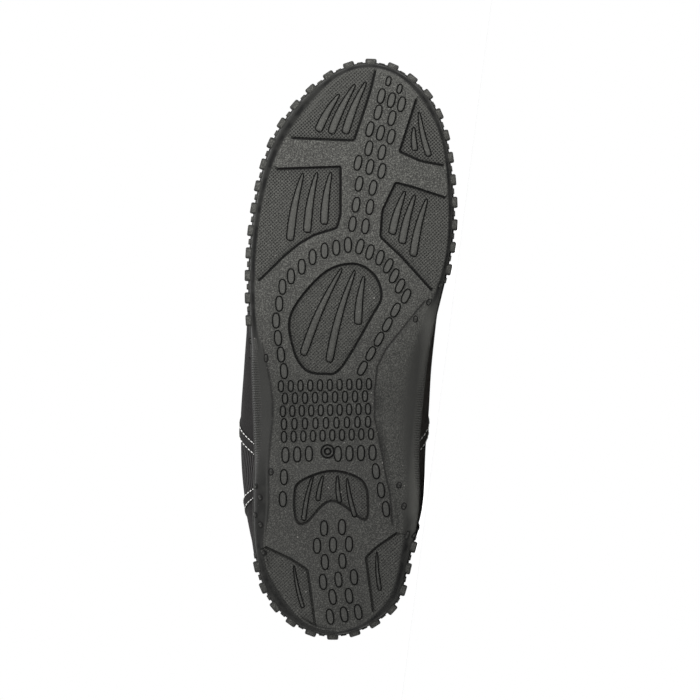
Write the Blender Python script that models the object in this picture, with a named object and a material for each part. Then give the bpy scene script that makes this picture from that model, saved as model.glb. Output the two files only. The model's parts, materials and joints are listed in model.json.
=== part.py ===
"""Water shoe for the right foot: a moulded cup outsole, a hollow stretch upper and a thin footbed.

Every shape is worked out on an upright shoe, in metres: X runs from heel to toe, Y towards the inner
(medial) side and Z up from the ground. At the end the shoe is laid on its inner side, on the contact
points that its own weight picks, with the toe towards +X and the sole facing -Y.
"""

import math
from collections import namedtuple

import bmesh
import bpy
import numpy as np
from mathutils import Matrix, Vector

MM = 0.001

# Sizes of the whole shoe
LENGTH = 285 * MM  # over the pads at heel and toe
BALL_WIDTH = 104.5 * MM  # over the side pads at the ball
HEEL_RADIUS = 30 * MM  # end curve of the outline, in plan
TOE_RADIUS = 28 * MM
HEEL_SWING = -0.056  # where the outline closes at the heel, as a share of BALL_WIDTH
TOE_SWING = 0.113

# Outsole
BOTTOM = 3.8 * MM  # rubber between tread and footbed
SIDE_WALL = 2.6 * MM
RIM_HEIGHT = 22 * MM  # the tables give the height of the rim as shares of this
RIM_BAND = 4 * MM  # proud band along the top of the side
RIM_STEP = 0.7 * MM
ARCH_TURN = 15 * MM  # the tables give the height of the turn from tread to side as shares of this
COVE_DROP = 2 * MM  # the turn inside the cup is this much lower than the turn outside
TOE_SPRING = 9 * MM
HEEL_BEVEL = 2.5 * MM
ARCH_LIFT = 2 * MM
HEEL_FLAT = (0.08, 0.25)  # shares of LENGTH between which the tread lies on the ground
BALL_FLAT = (0.56, 0.72)
TREAD_HEEL_END = 5.5 * MM  # from the end of the shoe to the end of the tread
TREAD_TOE_END = 6 * MM
TREAD_END_RADIUS = 24 * MM

# Lugs, panels and pads
LUG_HEIGHT = 1.2 * MM
LUG_ROOT = 1.7 * MM  # how far a lug reaches into the rubber
LONG_LUG = (3.7 * MM, 7.6 * MM)  # width and length of the ovals of heel and ball
SHORT_LUG = (2.8 * MM, 5.6 * MM)  # ovals of the waist
PANEL_DEPTH = 0.8 * MM
FIN_WIDTH = 3.4 * MM
FIN_TIP = 1.2 * MM
GATE_RADIUS = 3.6 * MM
GATE_BOSS = 1.9 * MM
PAD_PROUD = 1.7 * MM  # beyond the rim band
PAD_PITCH = 11 * MM
LONG_PAD = 5.6 * MM
SHORT_PAD = 2.9 * MM
PAD_HEIGHT = 5 * MM
PAD_TAPER = 0.4 * MM
PAD_ROOT = 1.5 * MM  # how far a pad reaches into the side wall
PADDED_FOREFOOT = (0.54, 0.61)  # shares of LENGTH where the pads start, outer and inner side
PADDED_HEEL = (0.15, 0.165)

# Upper and footbed
GAP = 0.3 * MM
UPPER_WALL = 2.2 * MM
INSTEP = 84 * MM  # ridge height at the front of the collar
COLLAR_DROP = 6 * MM  # from the ridge at the front of the collar down to the top of the heel
COLLAR_BACK = INSTEP - COLLAR_DROP
COLLAR_FRONT = 0.46  # share of LENGTH where the collar closes on the ridge
UPPER_BULGE = 10.3 * MM
HEEL_LEAN = 9 * MM  # how far the back of the collar leans forward
HEEL_SWELL = 1.6 * MM
ROUNDNESS = 2.2  # exponent of the arch of each section
EXIT_RISE = 0.6 * MM  # the upper starts to swell this far above the rim
BINDING_WIDTH = 7.5 * MM
BINDING_STEP = 0.7 * MM
BINDING_FRONT = COLLAR_FRONT + BINDING_WIDTH / LENGTH
SEAM_LEAN = 1.3  # how late the seams lean on their way up
HEM_STEP = 0.6 * MM
GORE_STEP = -0.4 * MM
FOOTBED = 3 * MM
FOOTBED_SLOPE = 9 * MM  # width of the sloped border of the footbed

LATERAL, MEDIAL = -1, 1

# A row for each section of the sole. Half widths from the swing line are shares of BALL_WIDTH,
# turns are shares of ARCH_TURN and rims are shares of RIM_HEIGHT above the tread.
SoleRow = namedtuple(
    "SoleRow",
    "share lateral medial tread_lateral tread_medial turn_lateral turn_medial rim_lateral rim_medial",
)
SOLE_ROWS = [
    SoleRow(0.00, 0.000, 0.000, 0.000, 0.000, 0.42, 0.42, 0.95, 0.95),
    SoleRow(0.05, 0.276, 0.273, 0.210, 0.212, 0.40, 0.40, 0.93, 0.95),
    SoleRow(0.10, 0.357, 0.322, 0.302, 0.259, 0.38, 0.42, 0.88, 0.93),
    SoleRow(0.20, 0.411, 0.369, 0.333, 0.257, 0.38, 0.60, 0.76, 0.98),
    SoleRow(0.30, 0.422, 0.355, 0.345, 0.187, 0.38, 0.85, 0.68, 1.06),
    SoleRow(0.40, 0.446, 0.354, 0.340, 0.131, 0.38, 1.00, 0.65, 1.10),
    SoleRow(0.50, 0.472, 0.370, 0.403, 0.178, 0.34, 0.90, 0.65, 1.05),
    SoleRow(0.60, 0.500, 0.414, 0.448, 0.350, 0.30, 0.48, 0.66, 0.88),
    SoleRow(0.70, 0.505, 0.447, 0.450, 0.405, 0.30, 0.32, 0.67, 0.74),
    SoleRow(0.80, 0.476, 0.424, 0.418, 0.386, 0.32, 0.32, 0.68, 0.69),
    SoleRow(0.90, 0.379, 0.354, 0.301, 0.312, 0.38, 0.36, 0.70, 0.70),
    SoleRow(0.95, 0.271, 0.268, 0.212, 0.222, 0.42, 0.40, 0.72, 0.72),
    SoleRow(1.00, 0.000, 0.000, 0.000, 0.000, 0.44, 0.44, 0.73, 0.73),
]

# A row for each section of the upper. Bulges beyond the feather edge are shares of UPPER_BULGE,
# the heights of the widest line and of the ridge are shares of INSTEP, and the ridge stands off the
# swing line by a share of BALL_WIDTH. Behind COLLAR_FRONT the ridge is the height at which the
# sides would meet, had the collar not cut them.
UpperRow = namedtuple("UpperRow", "share bulge_lateral bulge_medial widest ridge across")
UPPER_ROWS = [
    UpperRow(0.00, 0.00, 0.00, 0.40, 1.48, 0.000),
    UpperRow(0.10, 0.15, 0.15, 0.40, 1.17, 0.000),
    UpperRow(0.20, 0.60, 0.42, 0.41, 0.96, 0.000),
    UpperRow(0.30, 1.00, 0.66, 0.42, 0.92, 0.000),
    UpperRow(0.40, 0.90, 0.66, 0.42, 0.97, 0.000),
    UpperRow(0.46, 0.73, 0.58, 0.41, 1.00, 0.002),
    UpperRow(0.53, 0.51, 0.45, 0.40, 0.93, 0.008),
    UpperRow(0.60, 0.20, 0.20, 0.38, 0.82, 0.020),
    UpperRow(0.70, 0.10, 0.10, 0.35, 0.68, 0.035),
    UpperRow(0.80, 0.08, 0.08, 0.33, 0.58, 0.045),
    UpperRow(0.90, 0.05, 0.05, 0.33, 0.53, 0.030),
    UpperRow(1.00, 0.00, 0.00, 0.36, 0.50, 0.000),
]
TOE_ROUNDED_FROM = 0.84  # share of LENGTH from which the ridge rounds down to the toe

# The top line of the collar: height as a share of COLLAR_BACK, up to where it meets the ridge.
CollarRow = namedtuple("CollarRow", "share height")
COLLAR_ROWS = [
    CollarRow(0.00, 1.000),
    CollarRow(0.08, 0.950),
    CollarRow(0.16, 0.855),
    CollarRow(0.24, 0.800),
    CollarRow(0.32, 0.830),
    CollarRow(0.40, 0.960),
    CollarRow(0.46, 1.080),
]

# Seams of the upper, as shares of LENGTH at the feather edge and at the top line. The gore lies
# between the two hems of its side.
Seam = namedtuple("Seam", "name side foot top")
SEAMS = [
    Seam("rear_hem_back", LATERAL, 0.238, 0.185),
    Seam("rear_hem_front", LATERAL, 0.256, 0.207),
    Seam("front_hem_back", LATERAL, 0.310, 0.400),
    Seam("front_hem_front", LATERAL, 0.332, 0.422),
    Seam("rear_hem_back", MEDIAL, 0.182, 0.150),
    Seam("rear_hem_front", MEDIAL, 0.203, 0.172),
    Seam("front_hem_back", MEDIAL, 0.310, 0.400),
    Seam("front_hem_front", MEDIAL, 0.332, 0.422),
]

GORE_FEET = (0.203, 0.310)

# Rows of oval lugs: first and last lug as (share of LENGTH, share of BALL_WIDTH from the middle),
# how many, and how far their toe ends lean towards the inner side.
LugRow = namedtuple("LugRow", "place size first last count lean")
LUG_ROWS = [
    LugRow("stem", LONG_LUG, (0.966, 0.220), (0.954, 0.281), 2, 14),
    LugRow("stem", LONG_LUG, (0.938, 0.173), (0.925, 0.267), 3, 14),
    LugRow("stem", LONG_LUG, (0.907, 0.155), (0.897, 0.220), 2, 14),
    LugRow("stem", LONG_LUG, (0.878, 0.117), (0.865, 0.216), 3, 14),
    LugRow("stem", LONG_LUG, (0.845, 0.112), (0.838, 0.173), 2, 13),
    LugRow("stem", LONG_LUG, (0.820, 0.061), (0.806, 0.173), 3, 13),
    LugRow("stem", LONG_LUG, (0.784, 0.066), (0.777, 0.131), 2, 12),
    LugRow("stem", LONG_LUG, (0.748, 0.052), (0.744, 0.117), 2, 10),
    LugRow("stem", LONG_LUG, (0.715, 0.035), (0.711, 0.096), 2, 8),
    LugRow("outer ring", LONG_LUG, (0.679, 0.014), (0.669, -0.096), 3, 0),
    LugRow("outer ring", LONG_LUG, (0.658, -0.152), (0.625, -0.253), 3, 0),
    LugRow("outer ring", LONG_LUG, (0.607, -0.293), (0.549, -0.323), 3, 0),
    LugRow("outer ring", LONG_LUG, (0.519, -0.314), (0.462, -0.286), 3, -4),
    LugRow("inner ring", LONG_LUG, (0.676, 0.070), (0.657, 0.164), 3, 16),
    LugRow("inner ring", LONG_LUG, (0.643, 0.203), (0.591, 0.286), 4, 26),
    LugRow("inner ring", LONG_LUG, (0.567, 0.237), (0.467, 0.082), 5, 27),
    LugRow("waist", SHORT_LUG, (0.436, -0.300), (0.440, 0.112), 10, 0),
    LugRow("waist", SHORT_LUG, (0.415, -0.281), (0.419, 0.094), 9, 0),
    LugRow("waist", SHORT_LUG, (0.393, -0.291), (0.397, 0.108), 10, 0),
    LugRow("waist", SHORT_LUG, (0.371, -0.286), (0.375, 0.108), 9, 0),
    LugRow("waist", SHORT_LUG, (0.349, -0.286), (0.354, 0.122), 10, 0),
    LugRow("beside the gate", LONG_LUG, (0.318, -0.279), (0.320, -0.169), 3, 0),
    LugRow("beside the gate", LONG_LUG, (0.320, -0.033), (0.322, 0.129), 4, 0),
    LugRow("heel side", LONG_LUG, (0.280, -0.286), (0.242, -0.291), 2, 0),
    LugRow("heel side", LONG_LUG, (0.290, 0.145), (0.225, 0.192), 3, -6),
    LugRow("heel", LONG_LUG, (0.192, -0.098), (0.194, -0.014), 2, 0),
    LugRow("heel", LONG_LUG, (0.162, -0.131), (0.165, 0.019), 3, 0),
    LugRow("heel", LONG_LUG, (0.134, -0.094), (0.136, -0.012), 2, -3),
    LugRow("heel", LONG_LUG, (0.100, -0.103), (0.108, 0.042), 3, -5),
    LugRow("heel", LONG_LUG, (0.074, -0.058), (0.076, 0.019), 2, -8),
    LugRow("heel", LONG_LUG, (0.040, -0.070), (0.048, 0.062), 3, -9),
]

# Hatched panels sunk into the tread: corners as (share of LENGTH, share of BALL_WIDTH), and the
# tip and foot of each fin that stands in the panel. Corners past the tread run out into the side.
Panel = namedtuple("Panel", "name rounded corners fins")
PANELS = [
    Panel(
        "toe_lateral",
        False,
        [(0.985, 0.155), (0.945, 0.127), (0.911, 0.098), (0.856, 0.047), (0.861, -0.275)]
        + [(0.895, -0.240), (0.935, -0.180), (0.970, -0.080)],
        [((0.938, -0.028), (0.875, -0.127)), ((0.955, 0.047), (0.871, -0.066))]
        + [((0.959, 0.098), (0.871, 0.000))],
    ),
    Panel(
        "toe_medial",
        False,
        [(0.950, 0.345), (0.838, 0.248), (0.821, 0.351), (0.811, 0.490), (0.880, 0.470)],
        [((0.907, 0.347), (0.832, 0.394)), ((0.881, 0.323), (0.842, 0.328))],
    ),
    Panel(
        "mid_lateral",
        False,
        [(0.811, -0.400), (0.816, -0.014), (0.730, -0.014), (0.706, -0.033), (0.694, -0.141)]
        + [(0.679, -0.211), (0.658, -0.281), (0.615, -0.400), (0.615, -0.440), (0.740, -0.430)],
        [((0.802, -0.197), (0.687, -0.258)), ((0.804, -0.131), (0.701, -0.178))]
        + [((0.804, -0.066), (0.715, -0.098))],
    ),
    Panel(
        "mid_medial",
        False,
        [(0.789, 0.234), (0.780, 0.328), (0.758, 0.510), (0.640, 0.500), (0.610, 0.375)]
        + [(0.658, 0.258), (0.674, 0.211), (0.692, 0.159), (0.739, 0.169)],
        [((0.771, 0.281), (0.698, 0.220)), ((0.765, 0.328), (0.682, 0.267))]
        + [((0.758, 0.384), (0.660, 0.319))],
    ),
    Panel(
        "ball",
        True,
        [(0.649, 0.037), (0.631, -0.108), (0.562, -0.258), (0.500, -0.248), (0.463, -0.190)]
        + [(0.455, -0.098), (0.466, -0.014), (0.552, 0.127), (0.591, 0.178), (0.630, 0.140)],
        [((0.639, -0.014), (0.490, -0.197)), ((0.636, 0.047), (0.478, -0.075))]
        + [((0.625, 0.089), (0.543, 0.061))],
    ),
    Panel(
        "heel_crescent",
        True,
        [(0.274, -0.215), (0.293, -0.061), (0.276, 0.084), (0.235, 0.115), (0.204, 0.091)]
        + [(0.237, -0.061), (0.200, -0.178), (0.204, -0.232), (0.245, -0.244)],
        [((0.282, -0.150), (0.206, -0.194)), ((0.282, -0.103), (0.240, -0.127))]
        + [((0.282, -0.035), (0.247, -0.033)), ((0.278, 0.009), (0.223, 0.037))],
    ),
    Panel(
        "heel_lateral",
        False,
        [(0.166, -0.395), (0.143, -0.258), (0.122, -0.169), (0.020, -0.131), (0.060, -0.320)],
        [((0.125, -0.239), (0.058, -0.197))],
    ),
    Panel(
        "heel_medial",
        False,
        [(0.196, 0.280), (0.162, 0.145), (0.143, 0.091), (0.035, 0.131), (0.090, 0.290)],
        [((0.151, 0.145), (0.084, 0.166))],
    ),
]
GATE_PLACE = (0.324, -0.081)

# Mesh steps
STATION_TURN = 0.14  # of the outline parameter, in radians, between two stations
GORE_TURN = 0.035  # the same between the gore's seams, whose top is much longer than its foot
FRONT_TURN = 0.07  # the same round the front of the collar
TURN_STEPS = 3
SWELL_STEPS = 3
ARCH_STEPS = 6
ROUND_STEPS = 3  # points between two corners of a rounded panel
RING_SIDES = 12
LAYER_STEPS = 28
REACH = 60 * MM  # how far cutters stand past the sole

# Finishes: colour, roughness
RUBBER = ((0.045, 0.044, 0.041), 0.62)
STRETCH_FABRIC = ((0.014, 0.014, 0.015), 0.8)
FOAM = ((0.022, 0.022, 0.024), 0.9)

# Density of each piece, in kg/m3, for finding how the shoe lies
RUBBER_DENSITY = 1200
FABRIC_DENSITY = 300


def natural_spline(places, values):
    """A smooth curve through the values, straight at both ends."""
    places = np.array(places, float)
    values = np.array(values, float)
    step = np.diff(places)
    slope = np.diff(values) / step
    system = np.eye(len(places))
    right = np.zeros(len(places))
    for i in range(1, len(places) - 1):
        system[i, i - 1 : i + 2] = step[i - 1], 2 * (step[i - 1] + step[i]), step[i]
        right[i] = 6 * (slope[i] - slope[i - 1])
    bend = np.linalg.solve(system, right)

    def at(place):
        i = np.clip(np.searchsorted(places, place) - 1, 0, len(step) - 1)
        left, back = place - places[i], places[i + 1] - place
        cubic = (bend[i] * back**3 + bend[i + 1] * left**3) / (6 * step[i])
        start = (values[i] / step[i] - bend[i] * step[i] / 6) * back
        end = (values[i + 1] / step[i] - bend[i + 1] * step[i] / 6) * left
        return float(cubic + start + end)

    return at


def column(rows, name, scale=1.0):
    curve = natural_spline([row.share for row in rows], [getattr(row, name) for row in rows])
    return lambda share: scale * curve(share)


def half_width(rows, name, heel_radius, toe_radius):
    """Half width along the shoe, closing round at both ends with the given radii."""
    closing = [2 * math.sqrt(row.share * (1 - row.share)) for row in rows]
    fullness = [math.sqrt(heel_radius * LENGTH / 2)]
    for row, close in list(zip(rows, closing))[1:-1]:
        fullness.append(BALL_WIDTH * getattr(row, name) / close)
    fullness.append(math.sqrt(toe_radius * LENGTH / 2))
    curve = natural_spline([row.share for row in rows], fullness)
    return lambda share: 2 * math.sqrt(max(share * (1 - share), 0)) * curve(share)


OUTER_HALF = {
    LATERAL: half_width(SOLE_ROWS, "lateral", HEEL_RADIUS, TOE_RADIUS),
    MEDIAL: half_width(SOLE_ROWS, "medial", HEEL_RADIUS, TOE_RADIUS),
}
TREAD_HALF = {
    LATERAL: half_width(SOLE_ROWS, "tread_lateral", TREAD_END_RADIUS, TREAD_END_RADIUS),
    MEDIAL: half_width(SOLE_ROWS, "tread_medial", TREAD_END_RADIUS, TREAD_END_RADIUS),
}
TURN = {
    LATERAL: column(SOLE_ROWS, "turn_lateral", ARCH_TURN),
    MEDIAL: column(SOLE_ROWS, "turn_medial", ARCH_TURN),
}
RIM = {
    LATERAL: column(SOLE_ROWS, "rim_lateral", RIM_HEIGHT),
    MEDIAL: column(SOLE_ROWS, "rim_medial", RIM_HEIGHT),
}
BULGE = {
    LATERAL: column(UPPER_ROWS, "bulge_lateral", UPPER_BULGE),
    MEDIAL: column(UPPER_ROWS, "bulge_medial", UPPER_BULGE),
}
WIDEST = column(UPPER_ROWS, "widest", INSTEP)
RIDGE = column(UPPER_ROWS, "ridge", INSTEP)
RIDGE_ACROSS = column(UPPER_ROWS, "across", BALL_WIDTH)
TOP_LINE = column(COLLAR_ROWS, "height", COLLAR_BACK)


def swing(share):
    """Across position of the line on which the outline closes at heel and toe."""
    return BALL_WIDTH * (HEEL_SWING + (TOE_SWING - HEEL_SWING) * share)


def lift(along):
    """Height of the tread's lowest faces above the ground, at a distance from the heel."""
    share = along / LENGTH
    if share < HEEL_FLAT[0]:
        return HEEL_BEVEL * (1 - share / HEEL_FLAT[0]) ** 2
    if HEEL_FLAT[1] < share < BALL_FLAT[0]:
        through = (share - HEEL_FLAT[1]) / (BALL_FLAT[0] - HEEL_FLAT[1])
        return ARCH_LIFT * math.sin(math.pi * through) ** 2
    if share > BALL_FLAT[1]:
        return TOE_SPRING * ((share - BALL_FLAT[1]) / (1 - BALL_FLAT[1])) ** 2
    return 0.0


def side_of(turned):
    return LATERAL if turned < math.pi else MEDIAL


def share_of(turned):
    return (1 - math.cos(turned)) / 2


def turned_at(share, side):
    """The outline parameter: 0 at the heel, pi at the toe, the outer side before the inner one."""
    turned = math.acos(1 - 2 * share)
    return turned if side == LATERAL else 2 * math.pi - turned


def outline(turned, ends, halves):
    share, side = share_of(turned), side_of(turned)
    along = ends[0] + (LENGTH - ends[0] - ends[1]) * share
    return Vector((along, swing(share) + side * halves[side](share)))


def rim_outline(turned, outwards=0.0):
    """A point of the rim's outline in plan, moved outwards along the outline's normal."""
    ends = (PAD_PROUD, PAD_PROUD)
    step = 0.001
    here = outline(turned % (2 * math.pi), ends, OUTER_HALF)
    before = outline((turned - step) % (2 * math.pi), ends, OUTER_HALF)
    after = outline((turned + step) % (2 * math.pi), ends, OUTER_HALF)
    along = (after - before).normalized()
    return here + outwards * Vector((along.y, -along.x))


def tread_outline(turned):
    return outline(turned, (TREAD_HEEL_END, TREAD_TOE_END), TREAD_HALF)


def tread_height(along):
    """Height of the plain faces of the tread, between the lugs."""
    return lift(along) + LUG_HEIGHT


def turn_point(turned, fraction, inner=False):
    """A point of the turn from the tread (or the cup's floor) to the side, at a fraction of it."""
    share, side = share_of(turned), side_of(turned)
    tread = tread_outline(turned)
    inset = RIM_STEP + SIDE_WALL if inner else RIM_STEP
    wall = rim_outline(turned, -inset)
    rise = TURN[side](share) - COVE_DROP if inner else TURN[side](share)
    floor = BOTTOM if inner else 0.0
    angle = fraction * math.pi / 2
    place = tread + (wall - tread) * math.sin(angle)
    return Vector((*place, tread_height(tread.x) + floor + rise * (1 - math.cos(angle))))


def rim_top(turned):
    share, side = share_of(turned), side_of(turned)
    return lift(rim_outline(turned).x) + RIM[side](share)


def station_shares():
    """The stations of the cup, the upper and the footbed, which have the seams' feet among them."""
    marks = [0, *sorted({seam.foot for seam in SEAMS}), COLLAR_FRONT, BINDING_FRONT, 1]
    shares = []
    for start, stop in zip(marks, marks[1:]):
        first, last = turned_at(start, LATERAL), turned_at(stop, LATERAL)
        step = STATION_TURN
        if GORE_FEET[0] <= start < GORE_FEET[1]:
            step = GORE_TURN
        elif stop == COLLAR_FRONT:
            step = FRONT_TURN
        count = max(1, round((last - first) / step))
        shares += [share_of(first + (last - first) * i / count) for i in range(count)]
    return [*shares, 1]


def ring_turns():
    """Outline parameters of all stations, once round the shoe."""
    one_side = [turned_at(share, LATERAL) for share in station_shares()]
    return one_side + [2 * math.pi - turned for turned in one_side[-2:0:-1]]


def outsole_rings():
    """Loops of points round the cup, from the tread's edge up the side, over the rim and inside."""
    turns = ring_turns()
    steps = [i / TURN_STEPS for i in range(TURN_STEPS + 1)]
    rings = [[turn_point(t, step) for t in turns] for step in steps]

    def ring(outwards, height):
        return [Vector((*rim_outline(t, outwards), height(t))) for t in turns]

    rings.append(ring(-RIM_STEP, lambda t: rim_top(t) - RIM_BAND))
    rings.append(ring(0, lambda t: rim_top(t) - RIM_BAND + RIM_STEP))
    rings.append(ring(0, rim_top))
    rings.append(ring(-RIM_STEP - SIDE_WALL, rim_top))
    rings += [[turn_point(t, step, inner=True) for t in turns] for step in reversed(steps)]
    return rings


def new_object(name, mesh):
    made = bpy.data.objects.new(name, mesh)
    bpy.context.scene.collection.objects.link(made)
    return made


def mesh_object(name, points, faces):
    mesh = bpy.data.meshes.new(name)
    mesh.from_pydata([tuple(p) for p in points], [], faces)
    work = bmesh.new()
    work.from_mesh(mesh)
    bmesh.ops.remove_doubles(work, verts=work.verts, dist=0.01 * MM)
    bmesh.ops.recalc_face_normals(work, faces=work.faces)
    if work.calc_volume(signed=True) < 0:
        bmesh.ops.reverse_faces(work, faces=work.faces)
    work.to_mesh(mesh)
    work.free()
    return new_object(name, mesh)


def loft_faces(ring_count, size):
    """Quads between neighbouring rings that are laid out one after another."""
    faces = []
    for ring in range(ring_count - 1):
        for i in range(size):
            after = (i + 1) % size
            low, high = ring * size, (ring + 1) * size
            faces.append((low + i, low + after, high + after, high + i))
    return faces


def cap_faces(ring, start):
    """Strips across a ring from side to side, with each flat stretch as one face."""
    size = len(ring)
    half = size // 2
    faces, first = [], 0
    for i in range(1, half + 1):
        level = i < half and abs(ring[i].z - ring[first].z) < 1e-7
        level = level and abs(ring[i + 1].z - ring[first].z) < 1e-7
        if level:
            continue
        outer = list(range(first, i + 1))
        inner = [(size - j) % size for j in reversed(outer)]
        loop = [start + j for j in dict.fromkeys(outer + inner)]
        faces.append(tuple(loop))
        first = i
    return faces


def make_cup():
    rings = outsole_rings()
    points = [point for ring in rings for point in ring]
    size = len(rings[0])
    faces = loft_faces(len(rings), size)
    faces += cap_faces(rings[0], 0)
    faces += cap_faces(rings[-1], (len(rings) - 1) * size)
    return mesh_object("outsole", points, faces)


def tread_place(place):
    """Plan position of a (share of LENGTH, share of BALL_WIDTH) pair."""
    return Vector((place[0] * LENGTH, place[1] * BALL_WIDTH))


def prism(corners, low, high, points, faces):
    """Adds a closed prism over the corners, with its two ends at heights given by functions."""
    start, size = len(points), len(corners)
    points += [Vector((c.x, c.y, low(c.x))) for c in corners]
    points += [Vector((c.x, c.y, high(c.x))) for c in corners]
    faces.append(tuple(start + i for i in reversed(range(size))))
    faces.append(tuple(start + size + i for i in range(size)))
    for i in range(size):
        after = (i + 1) % size
        faces.append((start + i, start + after, start + size + after, start + size + i))


def oval(centre, size, lean):
    """Corners of a lug with round ends, its length along the shoe."""
    width, length = size
    straight = (length - width) / 2
    tilt = Matrix.Rotation(math.radians(lean), 2)
    bends = (-67.5, -22.5, 22.5, 67.5) if size == LONG_LUG else (-80, 0, 80)
    half = [Vector((math.cos(b), math.sin(b))) * width / 2 for b in map(math.radians, bends)]
    corners = [corner + Vector((straight, 0)) for corner in half]
    corners += [-corner for corner in corners]
    return [centre + tilt @ corner for corner in corners]


def lug_root(along):
    return tread_height(along) + LUG_ROOT


def make_lugs():
    points, faces = [], []
    for row in LUG_ROWS:
        first, last = tread_place(row.first), tread_place(row.last)
        for i in range(row.count):
            centre = first.lerp(last, i / (row.count - 1))
            prism(oval(centre, row.size, row.lean), lift, lug_root, points, faces)
    return mesh_object("lugs", points, faces)


def rounded(corners):
    """Points on a smooth closed curve through the corners."""
    points, size = [], len(corners)
    for i in range(size):
        a, b, c, d = (corners[(i + k) % size] for k in (-1, 0, 1, 2))
        for step in range(ROUND_STEPS):
            t = step / ROUND_STEPS
            bend = (2 * a - 5 * b + 4 * c - d) * t**2 + (3 * b - a - 3 * c + d) * t**3
            points.append((2 * b + (c - a) * t + bend) / 2)
    return points


def fin_corners(fin):
    tip, foot = tread_place(fin[0]), tread_place(fin[1])
    along = (foot - tip).normalized()
    across = Vector((-along.y, along.x)) / 2
    length = (foot - tip).length
    stations = ((0.0, FIN_TIP * 0.5), (0.12, FIN_TIP * 1.5), (0.6, FIN_WIDTH), (1.0, FIN_WIDTH * 0.8))
    left = [tip + along * length * t + across * width for t, width in stations]
    right = [tip + along * length * t - across * width for t, width in stations]
    return left + right[::-1]


def circle(centre, radius):
    turns = [2 * math.pi * i / RING_SIDES for i in range(RING_SIDES)]
    return [centre + radius * Vector((math.cos(t), math.sin(t))) for t in turns]


def far_below(along):
    return -REACH


def far_above(along):
    return REACH


def make_panel_cutter():
    """What is cut from the tread: each panel down to its depth, less its fins."""
    points, faces = [], []
    fin_points, fin_faces = [], []
    for panel in PANELS:
        corners = [tread_place(corner) for corner in panel.corners]
        corners = rounded(corners) if panel.rounded else corners
        prism(corners, far_below, far_above, points, faces)
        for fin in panel.fins:
            prism(fin_corners(fin), far_below, far_above, fin_points, fin_faces)
    gate = tread_place(GATE_PLACE)
    prism(circle(gate, GATE_RADIUS), far_below, far_above, points, faces)
    prism(circle(gate, GATE_BOSS), far_below, far_above, fin_points, fin_faces)
    cutter = mesh_object("panel_cutter", points, faces)
    fins = mesh_object("fin_keeper", fin_points, fin_faces)
    boolean(cutter, make_panel_layer(), "INTERSECT")
    boolean(cutter, fins, "DIFFERENCE")
    return cutter


def make_panel_layer():
    """A slab under the tread whose top is as high as the panels are deep."""
    stops = [LENGTH * i / LAYER_STEPS for i in range(LAYER_STEPS + 1)]
    profile = [(x, tread_height(x) + PANEL_DEPTH) for x in stops]
    profile += [(LENGTH + REACH, profile[-1][1]), (LENGTH + REACH, -REACH / 2)]
    profile += [(-REACH, -REACH / 2), (-REACH, profile[0][1])]
    points = [(x, side * 2 * REACH, z) for side in (-1, 1) for x, z in profile]
    size = len(profile)
    faces = [tuple(range(size)), tuple(reversed(range(size, 2 * size)))]
    faces += [(i, (i + 1) % size, size + (i + 1) % size, size + i) for i in range(size)]
    return mesh_object("panel_layer", points, faces)


def boolean(target, other, operation):
    cut = target.modifiers.new(other.name, "BOOLEAN")
    cut.operation = operation
    cut.object = other
    cut.solver = "EXACT"
    other.hide_render = True
    other.display_type = "WIRE"


def pads_along(start, stop):
    """Outline parameters of the pads between two of them, evenly spaced by length, long then short."""
    fine = np.linspace(start, stop, 400)
    points = np.array([rim_outline(t) for t in fine])
    run = np.concatenate([[0], np.cumsum(np.linalg.norm(np.diff(points, axis=0), axis=1))])
    count = max(2, round(run[-1] / (PAD_PITCH / 2)))
    places = (np.arange(count) + 0.5) * run[-1] / count
    return [(float(np.interp(p, run, fine)), i % 2 == 0) for i, p in enumerate(places)]


def add_pad(turned, long, points, faces):
    """A tapered block on the side wall, rooted in the rubber behind it."""
    share, side = share_of(turned % (2 * math.pi)), side_of(turned % (2 * math.pi))
    centre = rim_outline(turned)
    outwards = (rim_outline(turned, MM) - centre).normalized()
    along = Vector((-outwards.y, outwards.x))
    base = tread_height(centre.x)
    turn = TURN[side](share)
    depth = (rim_outline(turned, -RIM_STEP) - tread_outline(turned % (2 * math.pi))).length
    half = (LONG_PAD if long else SHORT_PAD) / 2
    start = len(points)
    low = turn * (0.25 if long else 0.9)
    for height in (low, low + PAD_HEIGHT):
        angle = math.acos(1 - min(height / turn, 1))
        root = RIM_STEP + depth * (1 - math.sin(angle)) + PAD_ROOT
        for reach in (-root, PAD_PROUD):
            size = half - PAD_TAPER * (reach + RIM_STEP) / (PAD_PROUD + RIM_STEP)
            for end in (-1, 1):
                place = centre + outwards * reach + along * end * size
                points.append(Vector((place.x, place.y, base + height)))
    for loop in ((0, 1, 3, 2), (4, 6, 7, 5), (0, 4, 5, 1), (2, 3, 7, 6), (0, 2, 6, 4), (1, 5, 7, 3)):
        faces.append(tuple(start + i for i in loop))


def make_pads():
    points, faces = [], []
    forefoot = (turned_at(PADDED_FOREFOOT[0], LATERAL), turned_at(PADDED_FOREFOOT[1], MEDIAL))
    heel = (turned_at(PADDED_HEEL[1], MEDIAL), turned_at(PADDED_HEEL[0], LATERAL) + 2 * math.pi)
    for start, stop in (forefoot, heel):
        for turned, long in pads_along(start, stop):
            add_pad(turned, long, points, faces)
    return mesh_object("pads", points, faces)


def make_outsole():
    outsole = make_cup()
    boolean(outsole, make_panel_cutter(), "DIFFERENCE")
    boolean(outsole, make_pads(), "UNION")
    boolean(outsole, make_lugs(), "UNION")
    return outsole


def ridge_height(share):
    """Height at which the two sides meet, rounding down to the widest line at the toe."""
    height = RIDGE(share)
    if share > TOE_ROUNDED_FROM:
        through = (share - TOE_ROUNDED_FROM) / (1 - TOE_ROUNDED_FROM)
        low = WIDEST(share)
        height = low + (height - low) * math.sqrt(max(1 - through**2, 0))
    return height


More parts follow.
